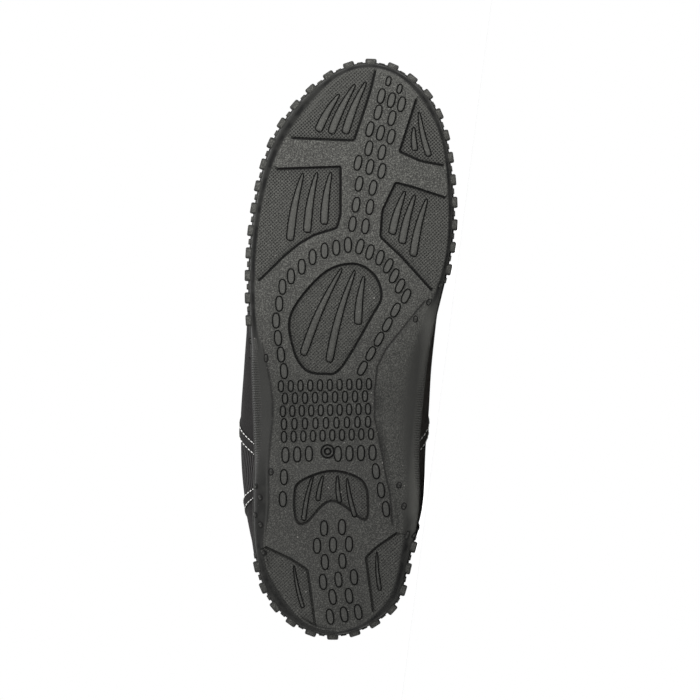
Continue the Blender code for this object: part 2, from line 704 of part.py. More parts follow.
def arch_angle(share, height):
    """The angle along the arch of a section at which it reaches a height."""
    low, high = WIDEST(share), ridge_height(share)
    reached = min(max((height - low) / (high - low), 0), 1)
    return math.asin(reached ** (ROUNDNESS / 2))


def heel_shift(share, height, leaves):
    """How far the back of the upper stands forward of an upright line, above where it leaves
    the cup."""
    fade = max(1 - share / 0.3, 0) ** 2
    widest = WIDEST(share)
    above = max(height - widest, 0) / (COLLAR_BACK - widest)
    through = (height - leaves) / (widest - leaves) / 2
    swell = math.sin(math.pi * min(max(through, 0), 1)) ** 2
    return fade * (HEEL_LEAN * above**2 - HEEL_SWELL * swell)


def upper_point(turned, row):
    """A point of the upper's outer surface. Rows run from the feather edge, 0, by way of the rim,
    1, and the widest line, 2, to the top line or the ridge, 3."""
    share, side = share_of(turned), side_of(turned)
    inset = RIM_STEP + SIDE_WALL + GAP
    widest = WIDEST(share)
    leaves = rim_top(turned) + EXIT_RISE
    if row <= 1:
        seat = turn_point(turned, 1, inner=True).z + GAP
        place = rim_outline(turned, -inset)
        height = seat + (leaves - seat) * row
    elif row <= 2:
        ease = (1 - math.cos(math.pi * (row - 1))) / 2
        place = rim_outline(turned, BULGE[side](share) * ease - inset)
        height = leaves + (widest - leaves) * (row - 1)
    else:
        top = math.pi / 2
        if share < COLLAR_FRONT:
            top = arch_angle(share, TOP_LINE(share))
        angle = top * (row - 2)
        wide = rim_outline(turned, BULGE[side](share) - inset)
        ridge = Vector((PAD_PROUD + inset + (LENGTH - 2 * PAD_PROUD - 2 * inset) * share, 0))
        ridge.y = swing(share) + RIDGE_ACROSS(share)
        place = ridge + (wide - ridge) * math.cos(angle) ** (2 / ROUNDNESS)
        arch = math.sin(angle) ** (2 / ROUNDNESS)
        height = widest + (ridge_height(share) - widest) * arch
    return Vector((place.x + heel_shift(share, height, leaves), place.y, height))


def binding_row(share):
    """The row of the binding's lower edge. Past the collar it runs on close beside the ridge."""
    beside = 0.93
    if share >= COLLAR_FRONT:
        return 2 + beside
    top = arch_angle(share, TOP_LINE(share))
    low = arch_angle(share, TOP_LINE(share) - BINDING_WIDTH)
    through = max(share / COLLAR_FRONT - 0.8, 0) / 0.2
    return 2 + (low / top) * (1 - through) + beside * through


def upper_columns(side):
    """(share at the feather edge, share at the top line, step) of each column, heel to toe. A
    step's edge is two columns in one place."""
    seams = [seam for seam in SEAMS if seam.side == side]
    marks = [(0, 0)] + [(seam.foot, seam.top) for seam in seams] + [(COLLAR_FRONT, COLLAR_FRONT)]
    steps = (0, HEM_STEP, GORE_STEP, HEM_STEP, 0)
    columns = []
    for share in station_shares():
        for start, stop, step in zip(marks, marks[1:], steps):
            if start[0] - 1e-9 <= share <= stop[0] + 1e-9:
                through = (share - start[0]) / (stop[0] - start[0])
                columns.append((share, start[1] + (stop[1] - start[1]) * through, step))
        if share > COLLAR_FRONT + 1e-9:
            columns.append((share, share, 0))
    return columns


def upper_rows():
    """(row, whether it is on the binding), with the binding's lower edge twice, as None."""
    rows = [(0, False)]
    rows += [(1 + i / SWELL_STEPS, False) for i in range(SWELL_STEPS + 1)]
    rows += [(2 + i / ARCH_STEPS, False) for i in range(1, ARCH_STEPS)]
    return rows + [(None, False), (None, True), (3, True)]


def upper_grid(side):
    """Points and steps of one side's outer surface: a list of columns, each a list of rows."""
    grid = []
    for foot, top, step in upper_columns(side):
        line = []
        for row, bound in upper_rows():
            edge = binding_row(top if foot < COLLAR_FRONT else foot)
            level = edge if row is None else row
            if row is not None and 2 < row < 3:
                level = 2 + (row - 2) * (edge - 2)
            share = foot + (top - foot) * min(max(level - 1, 0) / 2, 1) ** SEAM_LEAN
            point = upper_point(turned_at(share, side), level)
            on_binding = bound and foot <= BINDING_FRONT + 1e-9
            here = step if level > 1 else 0
            line.append((point, max(here, BINDING_STEP) if on_binding else here))
        grid.append(line)
    return grid


def make_upper():
    """Two sides joined at heel, ridge and toe, and given their wall along the surface normals."""
    sides = {side: upper_grid(side) for side in (LATERAL, MEDIAL)}
    points, faces, steps = [], [], []
    for side, grid in sides.items():
        rows = len(grid[0])
        start = len(points)
        for line in grid:
            points += [point for point, _ in line]
            steps += [step for _, step in line]
        for i in range(len(grid) - 1):
            for j in range(rows - 1):
                a, b = start + i * rows + j, start + (i + 1) * rows + j
                loop = (a, b, b + 1, a + 1) if side == LATERAL else (a, a + 1, b + 1, b)
                faces.append(loop)
    normals = surface_normals(points, faces)
    outer = [p + n * step for p, n, step in zip(points, normals, steps)]
    inner = [p - n * UPPER_WALL for p, n in zip(points, normals)]
    size = len(points)
    shell = list(faces) + [tuple(size + i for i in reversed(face)) for face in faces]
    start = 0
    for side, grid in sides.items():
        rows = len(grid[0])
        columns = upper_columns(side)
        for i in range(len(grid) - 1):
            a, b = start + i * rows, start + (i + 1) * rows
            edges = [(a, b)]
            if columns[i + 1][0] < COLLAR_FRONT + 1e-6:
                edges.append((b + rows - 1, a + rows - 1))
            for p, q in edges:
                loop = (p, size + p, size + q, q)
                shell.append(loop if side == LATERAL else loop[::-1])
        start += len(grid) * rows
    return mesh_object("upper", outer + inner, shell)


def surface_normals(points, faces):
    """Outward normals, shared by points in one place, so that steps and joints stay closed."""
    places, index = np.unique(
        np.round(np.array([tuple(p) for p in points]) / (0.001 * MM)), axis=0, return_inverse=True
    )
    index = index.reshape(-1)
    total = np.zeros((len(places), 3))
    corners = np.array([tuple(p) for p in points])
    for a, b, c, d in faces:
        normal = np.cross(corners[c] - corners[a], corners[d] - corners[b])
        for corner in (a, b, c, d):
            total[index[corner]] += normal
    total /= np.linalg.norm(total, axis=1, keepdims=True)
    return [Vector(total[i]) for i in index]


def cup_height(turned, place):
    """Height of the inside of the cup over a plan position near the outline parameter."""
    steps = [i / TURN_STEPS for i in range(TURN_STEPS + 1)]
    cove = [turn_point(turned, step, inner=True) for step in steps]
    foot, top = cove[0].to_2d(), cove[-1].to_2d()
    out = (top - foot).normalized()
    reach = [(point.to_2d() - foot).dot(out) for point in cove]
    return float(np.interp((place - foot).dot(out), reach, [point.z for point in cove]))


def make_insole():
    """A footbed that lies on the floor of the cup and runs up its sides to the upper."""
    turns = ring_turns()
    size = len(turns)
    inset = RIM_STEP + SIDE_WALL + UPPER_WALL + 3 * GAP
    rings = []
    for inwards in (FOOTBED_SLOPE, FOOTBED_SLOPE / 3, 0):
        places = [rim_outline(t, -inset - inwards) for t in turns]
        rings.append([Vector((*p, cup_height(t, p) + GAP)) for t, p in zip(turns, places)])
    up = Vector((0, 0, FOOTBED))
    rings += [[point + up for point in ring] for ring in reversed(rings)]
    points = [point for ring in rings for point in ring]
    faces = loft_faces(len(rings), size)
    for start in (0, (len(rings) - 1) * size):
        for i in range(size // 2):
            loop = (start + i, start + i + 1, start + (size - i - 1) % size, start + (size - i) % size)
            faces.append(tuple(dict.fromkeys(loop)))
    return mesh_object("insole", points, faces)


def material(name, finish):
    colour, roughness = finish
    made = bpy.data.materials.new(name)
    made.use_nodes = True
    shader = made.node_tree.nodes["Principled BSDF"]
    shader.inputs["Base Color"].default_value = (*colour, 1)
    shader.inputs["Roughness"].default_value = roughness
    shader.inputs["Metallic"].default_value = 0
    return made


def evaluated_triangles(made):
    """The corners of an object's triangles after its modifiers, as an array."""
    graph = bpy.context.evaluated_depsgraph_get()
    evaluated = made.evaluated_get(graph)
    mesh = evaluated.to_mesh()
    mesh.calc_loop_triangles()
    places = np.array([tuple(vertex.co) for vertex in mesh.vertices])
    corners = places[[tuple(triangle.vertices) for triangle in mesh.loop_triangles]]
    evaluated.to_mesh_clear()
    return corners


def resting_matrix(pieces):
    """The turn and shift that lay the shoe on its inner side, on the face of its convex hull that
    is nearest to its centre of mass there."""
    mass, moment, places = 0.0, np.zeros(3), []
    for made, density in pieces:
        corners = evaluated_triangles(made)
        volumes = np.einsum("ij,ij->i", corners[:, 0], np.cross(corners[:, 1], corners[:, 2])) / 6
        mass += density * volumes.sum()
        moment += density * (volumes[:, None] * corners.sum(axis=1) / 4).sum(axis=0)
        places.append(corners.reshape(-1, 3))
    centre = Vector(moment / mass)
    places = np.unique(np.concatenate(places), axis=0)
    hull = bmesh.new()
    for place in places:
        hull.verts.new(place)
    bmesh.ops.convex_hull(hull, input=hull.verts)
    hull.normal_update()
    towards = [face for face in hull.faces if face.normal.y > 0.9]
    nearest = min(towards, key=lambda face: face.normal.dot(face.verts[0].co - centre))
    up = -nearest.normal.copy()
    depth = nearest.normal.dot(nearest.verts[0].co)
    hull.free()
    ahead = (Vector((1, 0, 0)) - up * up.x).normalized()
    turn = Matrix((ahead, up.cross(ahead), up))
    turned = places @ np.array(turn).T
    middle = (turned.min(axis=0) + turned.max(axis=0)) / 2
    return Matrix.Translation((-middle[0], -middle[1], depth)) @ turn.to_4x4()


def main():
    for old in list(bpy.data.objects):
        bpy.data.objects.remove(old, do_unlink=True)
    outsole, upper, insole = make_outsole(), make_upper(), make_insole()
    outsole.data.materials.append(material("moulded_rubber", RUBBER))
    upper.data.materials.append(material("stretch_fabric", STRETCH_FABRIC))
    insole.data.materials.append(material("foam", FOAM))
    shoe = new_object("shoe", None)
    for made in bpy.data.objects:
        if made is not shoe:
            made.parent = shoe
    upper.data.shade_smooth()
    upper.data.set_sharp_from_angle(angle=math.radians(40))
    weights = ((outsole, RUBBER_DENSITY), (upper, FABRIC_DENSITY), (insole, FABRIC_DENSITY))
    shoe.matrix_world = resting_matrix(weights)


main()
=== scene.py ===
"""The looks of a right water shoe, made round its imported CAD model.

Everything is worked out on the upright shoe (X from heel to toe, Y towards the inner side, Z up
from the ground, in metres) and then moved to where the CAD shoe lies on its inner side.
"""

import json
import math
from collections import namedtuple

import bmesh
import bpy
import numpy as np
from mathutils import Matrix, Vector
from mathutils.bvhtree import BVHTree
from mathutils.geometry import delaunay_2d_cdt


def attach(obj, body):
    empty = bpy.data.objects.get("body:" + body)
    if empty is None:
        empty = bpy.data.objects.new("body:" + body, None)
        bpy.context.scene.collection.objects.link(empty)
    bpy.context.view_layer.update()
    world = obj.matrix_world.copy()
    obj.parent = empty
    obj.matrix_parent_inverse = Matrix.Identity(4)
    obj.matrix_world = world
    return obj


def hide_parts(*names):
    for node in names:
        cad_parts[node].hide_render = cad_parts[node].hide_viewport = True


bl_info = {
    "name": "Water shoe",
    "version": (1, 0, 0),
    "blender": (4, 5, 0),
    "location": "View3D > Sidebar > Water shoe",
    "description": "Dresses the packed water shoe: tread, pads, stretch upper, seams and footbed",
    "category": "Object",
}

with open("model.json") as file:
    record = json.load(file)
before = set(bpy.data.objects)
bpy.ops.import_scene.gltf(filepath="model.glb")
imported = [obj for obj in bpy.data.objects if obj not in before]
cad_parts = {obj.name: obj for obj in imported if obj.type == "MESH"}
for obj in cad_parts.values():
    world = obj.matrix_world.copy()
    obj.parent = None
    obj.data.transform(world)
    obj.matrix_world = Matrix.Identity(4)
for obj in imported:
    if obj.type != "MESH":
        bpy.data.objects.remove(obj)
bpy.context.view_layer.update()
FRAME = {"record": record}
MM = 0.001

# Sizes that the CAD part was made with
LENGTH = 285 * MM
BALL_WIDTH = 104.5 * MM
HEEL_RADIUS = 30 * MM
TOE_RADIUS = 28 * MM
HEEL_SWING = -0.056
TOE_SWING = 0.113
BOTTOM = 3.8 * MM
SIDE_WALL = 2.6 * MM
RIM_HEIGHT = 22 * MM
RIM_STEP = 0.7 * MM
ARCH_TURN = 15 * MM
COVE_DROP = 2 * MM
TOE_SPRING = 9 * MM
HEEL_BEVEL = 2.5 * MM
ARCH_LIFT = 2 * MM
HEEL_FLAT = (0.08, 0.25)
BALL_FLAT = (0.56, 0.72)
TREAD_HEEL_END = 5.5 * MM
TREAD_TOE_END = 6 * MM
TREAD_END_RADIUS = 24 * MM
LUG_HEIGHT = 1.2 * MM
LONG_LUG = (3.7 * MM, 7.6 * MM)
SHORT_LUG = (2.8 * MM, 5.6 * MM)
PANEL_DEPTH = 0.8 * MM
PAD_PROUD = 1.7 * MM
PAD_PITCH = 11 * MM
LONG_PAD = 5.6 * MM
SHORT_PAD = 2.9 * MM
PAD_HEIGHT = 5 * MM
PAD_ROOT = 2.6 * MM  # how deep a pad reaches into the side
PADDED_FOREFOOT = (0.54, 0.61)
PADDED_HEEL = (0.15, 0.165)
GAP = 0.3 * MM
UPPER_WALL = 2.2 * MM
INSTEP = 84 * MM
COLLAR_BACK = 78 * MM
COLLAR_FRONT = 0.46
UPPER_BULGE = 10.3 * MM
HEEL_LEAN = 9 * MM
HEEL_SWELL = 1.6 * MM
ROUNDNESS = 2.2
EXIT_RISE = 0.6 * MM
BINDING_WIDTH = 7.5 * MM
BINDING_FRONT = COLLAR_FRONT + BINDING_WIDTH / LENGTH
SEAM_SWAY = 0.012  # how far the seams hold back low down, as a share of LENGTH
FOOTBED = 3 * MM
TOE_ROUNDED_FROM = 0.84
LATERAL, MEDIAL = -1, 1
SIDES = {LATERAL: "lateral", MEDIAL: "medial"}

# A row for each section of the sole: half widths from the swing line as shares of BALL_WIDTH,
# turns as shares of ARCH_TURN and rims as shares of RIM_HEIGHT.
SoleRow = namedtuple(
    "SoleRow",
    "share lateral medial tread_lateral tread_medial turn_lateral turn_medial rim_lateral rim_medial",
)
SOLE_ROWS = [
    SoleRow(0.00, 0.000, 0.000, 0.000, 0.000, 0.42, 0.42, 0.95, 0.95),
    SoleRow(0.05, 0.276, 0.273, 0.210, 0.212, 0.40, 0.40, 0.93, 0.95),
    SoleRow(0.10, 0.357, 0.322, 0.302, 0.259, 0.38, 0.42, 0.88, 0.93),
    SoleRow(0.20, 0.411, 0.369, 0.333, 0.257, 0.38, 0.60, 0.76, 0.98),
    SoleRow(0.30, 0.422, 0.355, 0.345, 0.187, 0.38, 0.85, 0.68, 1.06),
    SoleRow(0.40, 0.446, 0.354, 0.340, 0.131, 0.38, 1.00, 0.65, 1.10),
    SoleRow(0.50, 0.472, 0.370, 0.403, 0.178, 0.34, 0.90, 0.65, 1.05),
    SoleRow(0.60, 0.500, 0.414, 0.448, 0.350, 0.30, 0.48, 0.66, 0.88),
    SoleRow(0.70, 0.505, 0.447, 0.450, 0.405, 0.30, 0.32, 0.67, 0.74),
    SoleRow(0.80, 0.476, 0.424, 0.418, 0.386, 0.32, 0.32, 0.68, 0.69),
    SoleRow(0.90, 0.379, 0.354, 0.301, 0.312, 0.38, 0.36, 0.70, 0.70),
    SoleRow(0.95, 0.271, 0.268, 0.212, 0.222, 0.42, 0.40, 0.72, 0.72),
    SoleRow(1.00, 0.000, 0.000, 0.000, 0.000, 0.44, 0.44, 0.73, 0.73),
]

# A row for each section of the upper: bulges as shares of UPPER_BULGE, heights of the widest line
# and the ridge as shares of INSTEP, and the ridge's place across as a share of BALL_WIDTH.
UpperRow = namedtuple("UpperRow", "share bulge_lateral bulge_medial widest ridge across")
UPPER_ROWS = [
    UpperRow(0.00, 0.00, 0.00, 0.40, 1.48, 0.000),
    UpperRow(0.10, 0.15, 0.15, 0.40, 1.17, 0.000),
    UpperRow(0.20, 0.60, 0.42, 0.41, 0.96, 0.000),
    UpperRow(0.30, 1.00, 0.66, 0.42, 0.92, 0.000),
    UpperRow(0.40, 0.90, 0.66, 0.42, 0.97, 0.000),
    UpperRow(0.46, 0.73, 0.58, 0.41, 1.00, 0.002),
    UpperRow(0.53, 0.51, 0.45, 0.40, 0.93, 0.008),
    UpperRow(0.60, 0.20, 0.20, 0.38, 0.82, 0.020),
    UpperRow(0.70, 0.10, 0.10, 0.35, 0.68, 0.035),
    UpperRow(0.80, 0.08, 0.08, 0.33, 0.58, 0.045),
    UpperRow(0.90, 0.05, 0.05, 0.33, 0.53, 0.030),
    UpperRow(1.00, 0.00, 0.00, 0.36, 0.50, 0.000),
]
CollarRow = namedtuple("CollarRow", "share height")
COLLAR_ROWS = [
    CollarRow(0.00, 1.000),
    CollarRow(0.08, 0.950),
    CollarRow(0.16, 0.855),
    CollarRow(0.24, 0.800),
    CollarRow(0.32, 0.830),
    CollarRow(0.40, 0.960),
    CollarRow(0.46, 1.080),
]

# Seams of each side as shares of LENGTH at the feather edge and at the top line. The gore lies
# between the two hems.
SEAMS = {
    LATERAL: ((0.238, 0.185), (0.256, 0.207), (0.310, 0.400), (0.332, 0.422)),
    MEDIAL: ((0.182, 0.150), (0.203, 0.172), (0.310, 0.400), (0.332, 0.422)),
}

# Rows of oval lugs: first and last as (share of LENGTH, share of BALL_WIDTH), how many, lean.
LugRow = namedtuple("LugRow", "size first last count lean")
LUG_ROWS = [
    LugRow((2.6 * MM, 4.8 * MM), (0.9605, 0.204), (0.9475, 0.256), 2, 14),
    LugRow(LONG_LUG, (0.935, 0.170), (0.921, 0.265), 3, 14),
    LugRow(LONG_LUG, (0.907, 0.155), (0.897, 0.220), 2, 14),
    LugRow(LONG_LUG, (0.878, 0.117), (0.865, 0.216), 3, 14),
    LugRow(LONG_LUG, (0.845, 0.112), (0.838, 0.173), 2, 13),
    LugRow(LONG_LUG, (0.820, 0.061), (0.806, 0.173), 3, 13),
    LugRow(LONG_LUG, (0.784, 0.066), (0.777, 0.131), 2, 12),
    LugRow(LONG_LUG, (0.748, 0.052), (0.744, 0.117), 2, 10),
    LugRow(LONG_LUG, (0.715, 0.035), (0.711, 0.096), 2, 8),
    LugRow(LONG_LUG, (0.679, 0.014), (0.669, -0.096), 3, 0),
    LugRow(LONG_LUG, (0.658, -0.152), (0.625, -0.253), 3, 0),
    LugRow(LONG_LUG, (0.607, -0.293), (0.549, -0.323), 3, 0),
    LugRow(LONG_LUG, (0.519, -0.314), (0.462, -0.286), 3, -4),
    LugRow(LONG_LUG, (0.676, 0.070), (0.657, 0.164), 3, 16),
    LugRow(LONG_LUG, (0.643, 0.203), (0.591, 0.286), 4, 26),
    LugRow(LONG_LUG, (0.567, 0.237), (0.467, 0.082), 5, 27),
    LugRow(SHORT_LUG, (0.436, -0.300), (0.440, 0.112), 10, 0),
    LugRow(SHORT_LUG, (0.415, -0.281), (0.419, 0.094), 9, 0),
    LugRow(SHORT_LUG, (0.393, -0.291), (0.397, 0.108), 10, 0),
    LugRow(SHORT_LUG, (0.371, -0.286), (0.375, 0.108), 9, 0),
    LugRow(SHORT_LUG, (0.349, -0.286), (0.354, 0.122), 10, 0),
    LugRow(LONG_LUG, (0.318, -0.279), (0.320, -0.169), 3, 0),
    LugRow(LONG_LUG, (0.320, -0.033), (0.322, 0.129), 4, 0),
    LugRow(LONG_LUG, (0.280, -0.286), (0.242, -0.291), 2, 0),
    LugRow(LONG_LUG, (0.290, 0.145), (0.225, 0.192), 3, -6),
    LugRow(LONG_LUG, (0.192, -0.098), (0.194, -0.014), 2, 0),
    LugRow(LONG_LUG, (0.162, -0.131), (0.165, 0.019), 3, 0),
    LugRow(LONG_LUG, (0.134, -0.094), (0.136, -0.012), 2, -3),
    LugRow(LONG_LUG, (0.100, -0.103), (0.108, 0.042), 3, -5),
    LugRow(LONG_LUG, (0.074, -0.058), (0.076, 0.019), 2, -8),
    LugRow(LONG_LUG, (0.040, -0.070), (0.048, 0.062), 3, -9),
]

# Hatched panels: whether the outline is one smooth curve, its corners, and its fins (tip, foot).
Panel = namedtuple("Panel", "smooth corners fins slim", defaults=(1.0,))
PANELS = [
    Panel(
        False,
        [(1.010, 0.170), (0.945, 0.127), (0.911, 0.098), (0.856, 0.047), (0.861, -0.300)]
        + [(0.920, -0.290), (0.975, -0.200), (1.010, -0.080)],
        [((0.938, -0.028), (0.875, -0.127)), ((0.955, 0.047), (0.871, -0.066))]
        + [((0.959, 0.098), (0.871, 0.000))],
    ),
    Panel(
        False,
        [(0.973, 0.365), (0.838, 0.248), (0.821, 0.351), (0.811, 0.490), (0.880, 0.470)],
        [((0.907, 0.347), (0.832, 0.394)), ((0.881, 0.323), (0.842, 0.328))],
        0.75,
    ),
    Panel(
        False,
        [(0.811, -0.400), (0.816, -0.014), (0.730, -0.014), (0.706, -0.033), (0.694, -0.141)]
        + [(0.679, -0.211), (0.658, -0.281), (0.615, -0.400), (0.615, -0.440), (0.740, -0.430)],
        [((0.802, -0.197), (0.687, -0.258)), ((0.804, -0.131), (0.701, -0.178))]
        + [((0.804, -0.066), (0.715, -0.098))],
    ),
    Panel(
        False,
        [(0.789, 0.234), (0.780, 0.328), (0.758, 0.510), (0.620, 0.530), (0.590, 0.425)]
        + [(0.658, 0.258), (0.674, 0.211), (0.692, 0.159), (0.739, 0.169)],
        [((0.771, 0.281), (0.698, 0.220)), ((0.765, 0.328), (0.682, 0.267))]
        + [((0.758, 0.384), (0.660, 0.319))],
    ),
    Panel(
        True,
        [(0.649, 0.037), (0.631, -0.108), (0.562, -0.258), (0.500, -0.248), (0.463, -0.190)]
        + [(0.455, -0.098), (0.466, -0.014), (0.552, 0.127), (0.591, 0.178), (0.630, 0.140)],
        [((0.639, -0.014), (0.490, -0.197)), ((0.636, 0.047), (0.478, -0.075))]
        + [((0.625, 0.089), (0.543, 0.061))],
    ),
    Panel(
        True,
        [(0.274, -0.215), (0.293, -0.061), (0.276, 0.084), (0.235, 0.115), (0.204, 0.091)]
        + [(0.237, -0.061), (0.200, -0.178), (0.204, -0.232), (0.245, -0.244)],
        [((0.282, -0.150), (0.206, -0.194)), ((0.282, -0.103), (0.240, -0.127))]
        + [((0.282, -0.035), (0.237, -0.025)), ((0.278, 0.009), (0.212, 0.047))],
        0.55,
    ),
    Panel(
        False,
        [(0.166, -0.395), (0.143, -0.258), (0.122, -0.169), (0.020, -0.131), (0.060, -0.320)],
        [((0.128, -0.239), (0.056, -0.197))],
        0.42,
    ),
    Panel(
        False,
        [(0.196, 0.280), (0.162, 0.145), (0.143, 0.091), (0.035, 0.131), (0.090, 0.290)],
        [((0.151, 0.150), (0.086, 0.164))],
        0.42,
    ),
]
GATE_PLACE = (0.324, -0.081)

# Moulded lines along the arch and round the heel, as (share of LENGTH, share of BALL_WIDTH) points
ARCH_LINE = [(0.583, 0.375), (0.50, 0.192), (0.47, 0.152), (0.43, 0.140), (0.38, 0.140)]
ARCH_LINE += [(0.335, 0.165), (0.29, 0.188), (0.25, 0.212), (0.20, 0.222)]
HEEL_LINE = [(0.030, -0.168), (0.022, -0.120), (0.018, -0.056), (0.0175, 0.060)]

# Soft creases of the upper: side, start and end as (share of LENGTH, height as a share of the way
# from the rim to the ridge or top line), depth and width. A negative depth makes a ridge.
Crease = namedtuple("Crease", "side start end depth width")
CREASES = [
    Crease(LATERAL, (0.72, 0.99), (0.61, 0.42), 3.0 * MM, 5.2 * MM),
    Crease(LATERAL, (0.66, 1.00), (0.56, 0.50), -2.0 * MM, 6.2 * MM),
    Crease(LATERAL, (0.60, 0.97), (0.52, 0.56), 2.7 * MM, 5.7 * MM),
    Crease(LATERAL, (0.69, 0.55), (0.60, 0.20), 1.8 * MM, 4.8 * MM),
    Crease(LATERAL, (0.44, 0.90), (0.37, 0.66), -1.5 * MM, 5.7 * MM),
    Crease(LATERAL, (0.37, 0.88), (0.26, 0.64), 2.2 * MM, 5.2 * MM),
    Crease(LATERAL, (0.15, 0.62), (0.03, 0.42), 2.4 * MM, 5.2 * MM),
    Crease(LATERAL, (0.17, 0.36), (0.05, 0.24), -1.5 * MM, 4.8 * MM),
    Crease(LATERAL, (0.93, 0.80), (0.84, 0.45), 1.4 * MM, 6.6 * MM),
    Crease(MEDIAL, (0.73, 0.99), (0.63, 0.46), 2.7 * MM, 5.2 * MM),
    Crease(MEDIAL, (0.67, 1.00), (0.57, 0.55), -1.8 * MM, 6.2 * MM),
    Crease(MEDIAL, (0.61, 0.96), (0.54, 0.58), 2.5 * MM, 5.7 * MM),
    Crease(MEDIAL, (0.45, 0.88), (0.38, 0.68), -1.4 * MM, 5.7 * MM),
    Crease(MEDIAL, (0.36, 0.88), (0.24, 0.66), 2.2 * MM, 5.2 * MM),
    Crease(MEDIAL, (0.13, 0.60), (0.03, 0.42), 2.1 * MM, 5.2 * MM),
    Crease(MEDIAL, (0.14, 0.34), (0.04, 0.24), -1.4 * MM, 4.8 * MM),
]


def spline(places, values):
    """A natural cubic spline through the values, as a function of an array."""
    places = np.array(places, float)
    values = np.array(values, float)
    step = np.diff(places)
    slope = np.diff(values) / step
    system = np.eye(len(places))
    right = np.zeros(len(places))
    for i in range(1, len(places) - 1):
        system[i, i - 1 : i + 2] = step[i - 1], 2 * (step[i - 1] + step[i]), step[i]
        right[i] = 6 * (slope[i] - slope[i - 1])
    bend = np.linalg.solve(system, right)

    def at(place):
        i = np.clip(np.searchsorted(places, place) - 1, 0, len(step) - 1)
        left, back = place - places[i], places[i + 1] - place
        cubic = (bend[i] * back**3 + bend[i + 1] * left**3) / (6 * step[i])
        start = (values[i] / step[i] - bend[i] * step[i] / 6) * back
        return cubic + start + (values[i + 1] / step[i] - bend[i + 1] * step[i] / 6) * left

    return at


def column(rows, name, scale):
    """A smooth curve through one column of a table."""
    curve = spline([row.share for row in rows], [getattr(row, name) for row in rows])
    return lambda share: scale * curve(share)


def both(rows, name, scale):
    """A column's curves for the two sides of the shoe."""
    return {side: column(rows, name + "_" + end, scale) for side, end in SIDES.items()}


def half_width(name, heel_radius, toe_radius):
    """A half width that closes in a round end of the given radius at heel and toe."""
    fullness = [math.sqrt(heel_radius * LENGTH / 2)]
    for row in SOLE_ROWS[1:-1]:
        fullness.append(BALL_WIDTH * getattr(row, name) / 2 / math.sqrt(row.share * (1 - row.share)))
    fullness.append(math.sqrt(toe_radius * LENGTH / 2))
    curve = spline([row.share for row in SOLE_ROWS], fullness)
    return lambda share: 2 * np.sqrt(np.maximum(share * (1 - share), 0)) * curve(share)


OUTER_HALF = {side: half_width(name, HEEL_RADIUS, TOE_RADIUS) for side, name in SIDES.items()}
TREAD_HALF = {
    side: half_width("tread_" + name, TREAD_END_RADIUS, TREAD_END_RADIUS) for side, name in SIDES.items()
}
TURN = both(SOLE_ROWS, "turn", ARCH_TURN)
RIM = both(SOLE_ROWS, "rim", RIM_HEIGHT)
BULGE = both(UPPER_ROWS, "bulge", UPPER_BULGE)
WIDEST = column(UPPER_ROWS, "widest", INSTEP)
RIDGE = column(UPPER_ROWS, "ridge", INSTEP)
RIDGE_ACROSS = column(UPPER_ROWS, "across", BALL_WIDTH)
TOP_LINE = column(COLLAR_ROWS, "height", COLLAR_BACK)


def swing(share):
    """How far the sole's middle line lies across, from heel to toe."""
    return BALL_WIDTH * (HEEL_SWING + (TOE_SWING - HEEL_SWING) * share)


def lift(along):
    """Height of the tread's lowest faces above the ground."""
    share = along / LENGTH
    heel = HEEL_BEVEL * np.maximum(1 - share / HEEL_FLAT[0], 0) ** 2
    through = np.clip((share - HEEL_FLAT[1]) / (BALL_FLAT[0] - HEEL_FLAT[1]), 0, 1)
    toe = TOE_SPRING * np.maximum((share - BALL_FLAT[1]) / (1 - BALL_FLAT[1]), 0) ** 2
    return heel + ARCH_LIFT * np.sin(math.pi * through) ** 2 + toe


def tread_height(along):
    return lift(along) + LUG_HEIGHT


def share_of(turned):
    return (1 - np.cos(turned)) / 2


def turned_at(share, side):
    turned = np.arccos(1 - 2 * np.asarray(share, float))
    return turned if side == LATERAL else 2 * math.pi - turned


def is_outer(turned):
    """Whether outline parameters lie on the outer side: 0 is the heel, pi the toe."""
    return np.mod(turned, 2 * math.pi) < math.pi


def by_side(curves, turned):
    """Values of a pair of curves at outline parameters."""
    share = share_of(turned)
    return np.where(is_outer(turned), curves[LATERAL](share), curves[MEDIAL](share))


def outline(turned, ends, halves):
    share = share_of(turned)
    along = ends[0] + (LENGTH - ends[0] - ends[1]) * share
    side = np.where(is_outer(turned), LATERAL, MEDIAL)
    return np.stack([along, swing(share) + side * by_side(halves, turned)], axis=-1)


def rim_normal(turned):
    ends = (PAD_PROUD, PAD_PROUD)
    along = outline(turned + 0.001, ends, OUTER_HALF) - outline(turned - 0.001, ends, OUTER_HALF)
    along /= np.linalg.norm(along, axis=-1, keepdims=True)
    return np.stack([along[..., 1], -along[..., 0]], axis=-1)


def rim_outline(turned, outwards=0.0):
    """Points of the rim's outline in plan, moved outwards."""
    out = np.asarray(outwards, float)[..., None] * rim_normal(turned)
    return outline(turned, (PAD_PROUD, PAD_PROUD), OUTER_HALF) + out


def tread_outline(turned):
    return outline(turned, (TREAD_HEEL_END, TREAD_TOE_END), TREAD_HALF)


def rim_top(turned):
    return lift(rim_outline(turned)[..., 0]) + by_side(RIM, turned)


def turn_points(turned, fraction, inner=False):
    """Points of the turn from the tread, or from the cup's floor, up to the side."""
    tread = tread_outline(turned)
    wall = rim_outline(turned, -RIM_STEP - (SIDE_WALL if inner else 0))
    rise = by_side(TURN, turned) - (COVE_DROP if inner else 0)
    angle = fraction * math.pi / 2
    place = tread + (wall - tread) * math.sin(angle)
    height = tread_height(tread[..., 0]) + (BOTTOM if inner else 0) + rise * (1 - math.cos(angle))
    return np.concatenate([place, height[..., None]], axis=-1)


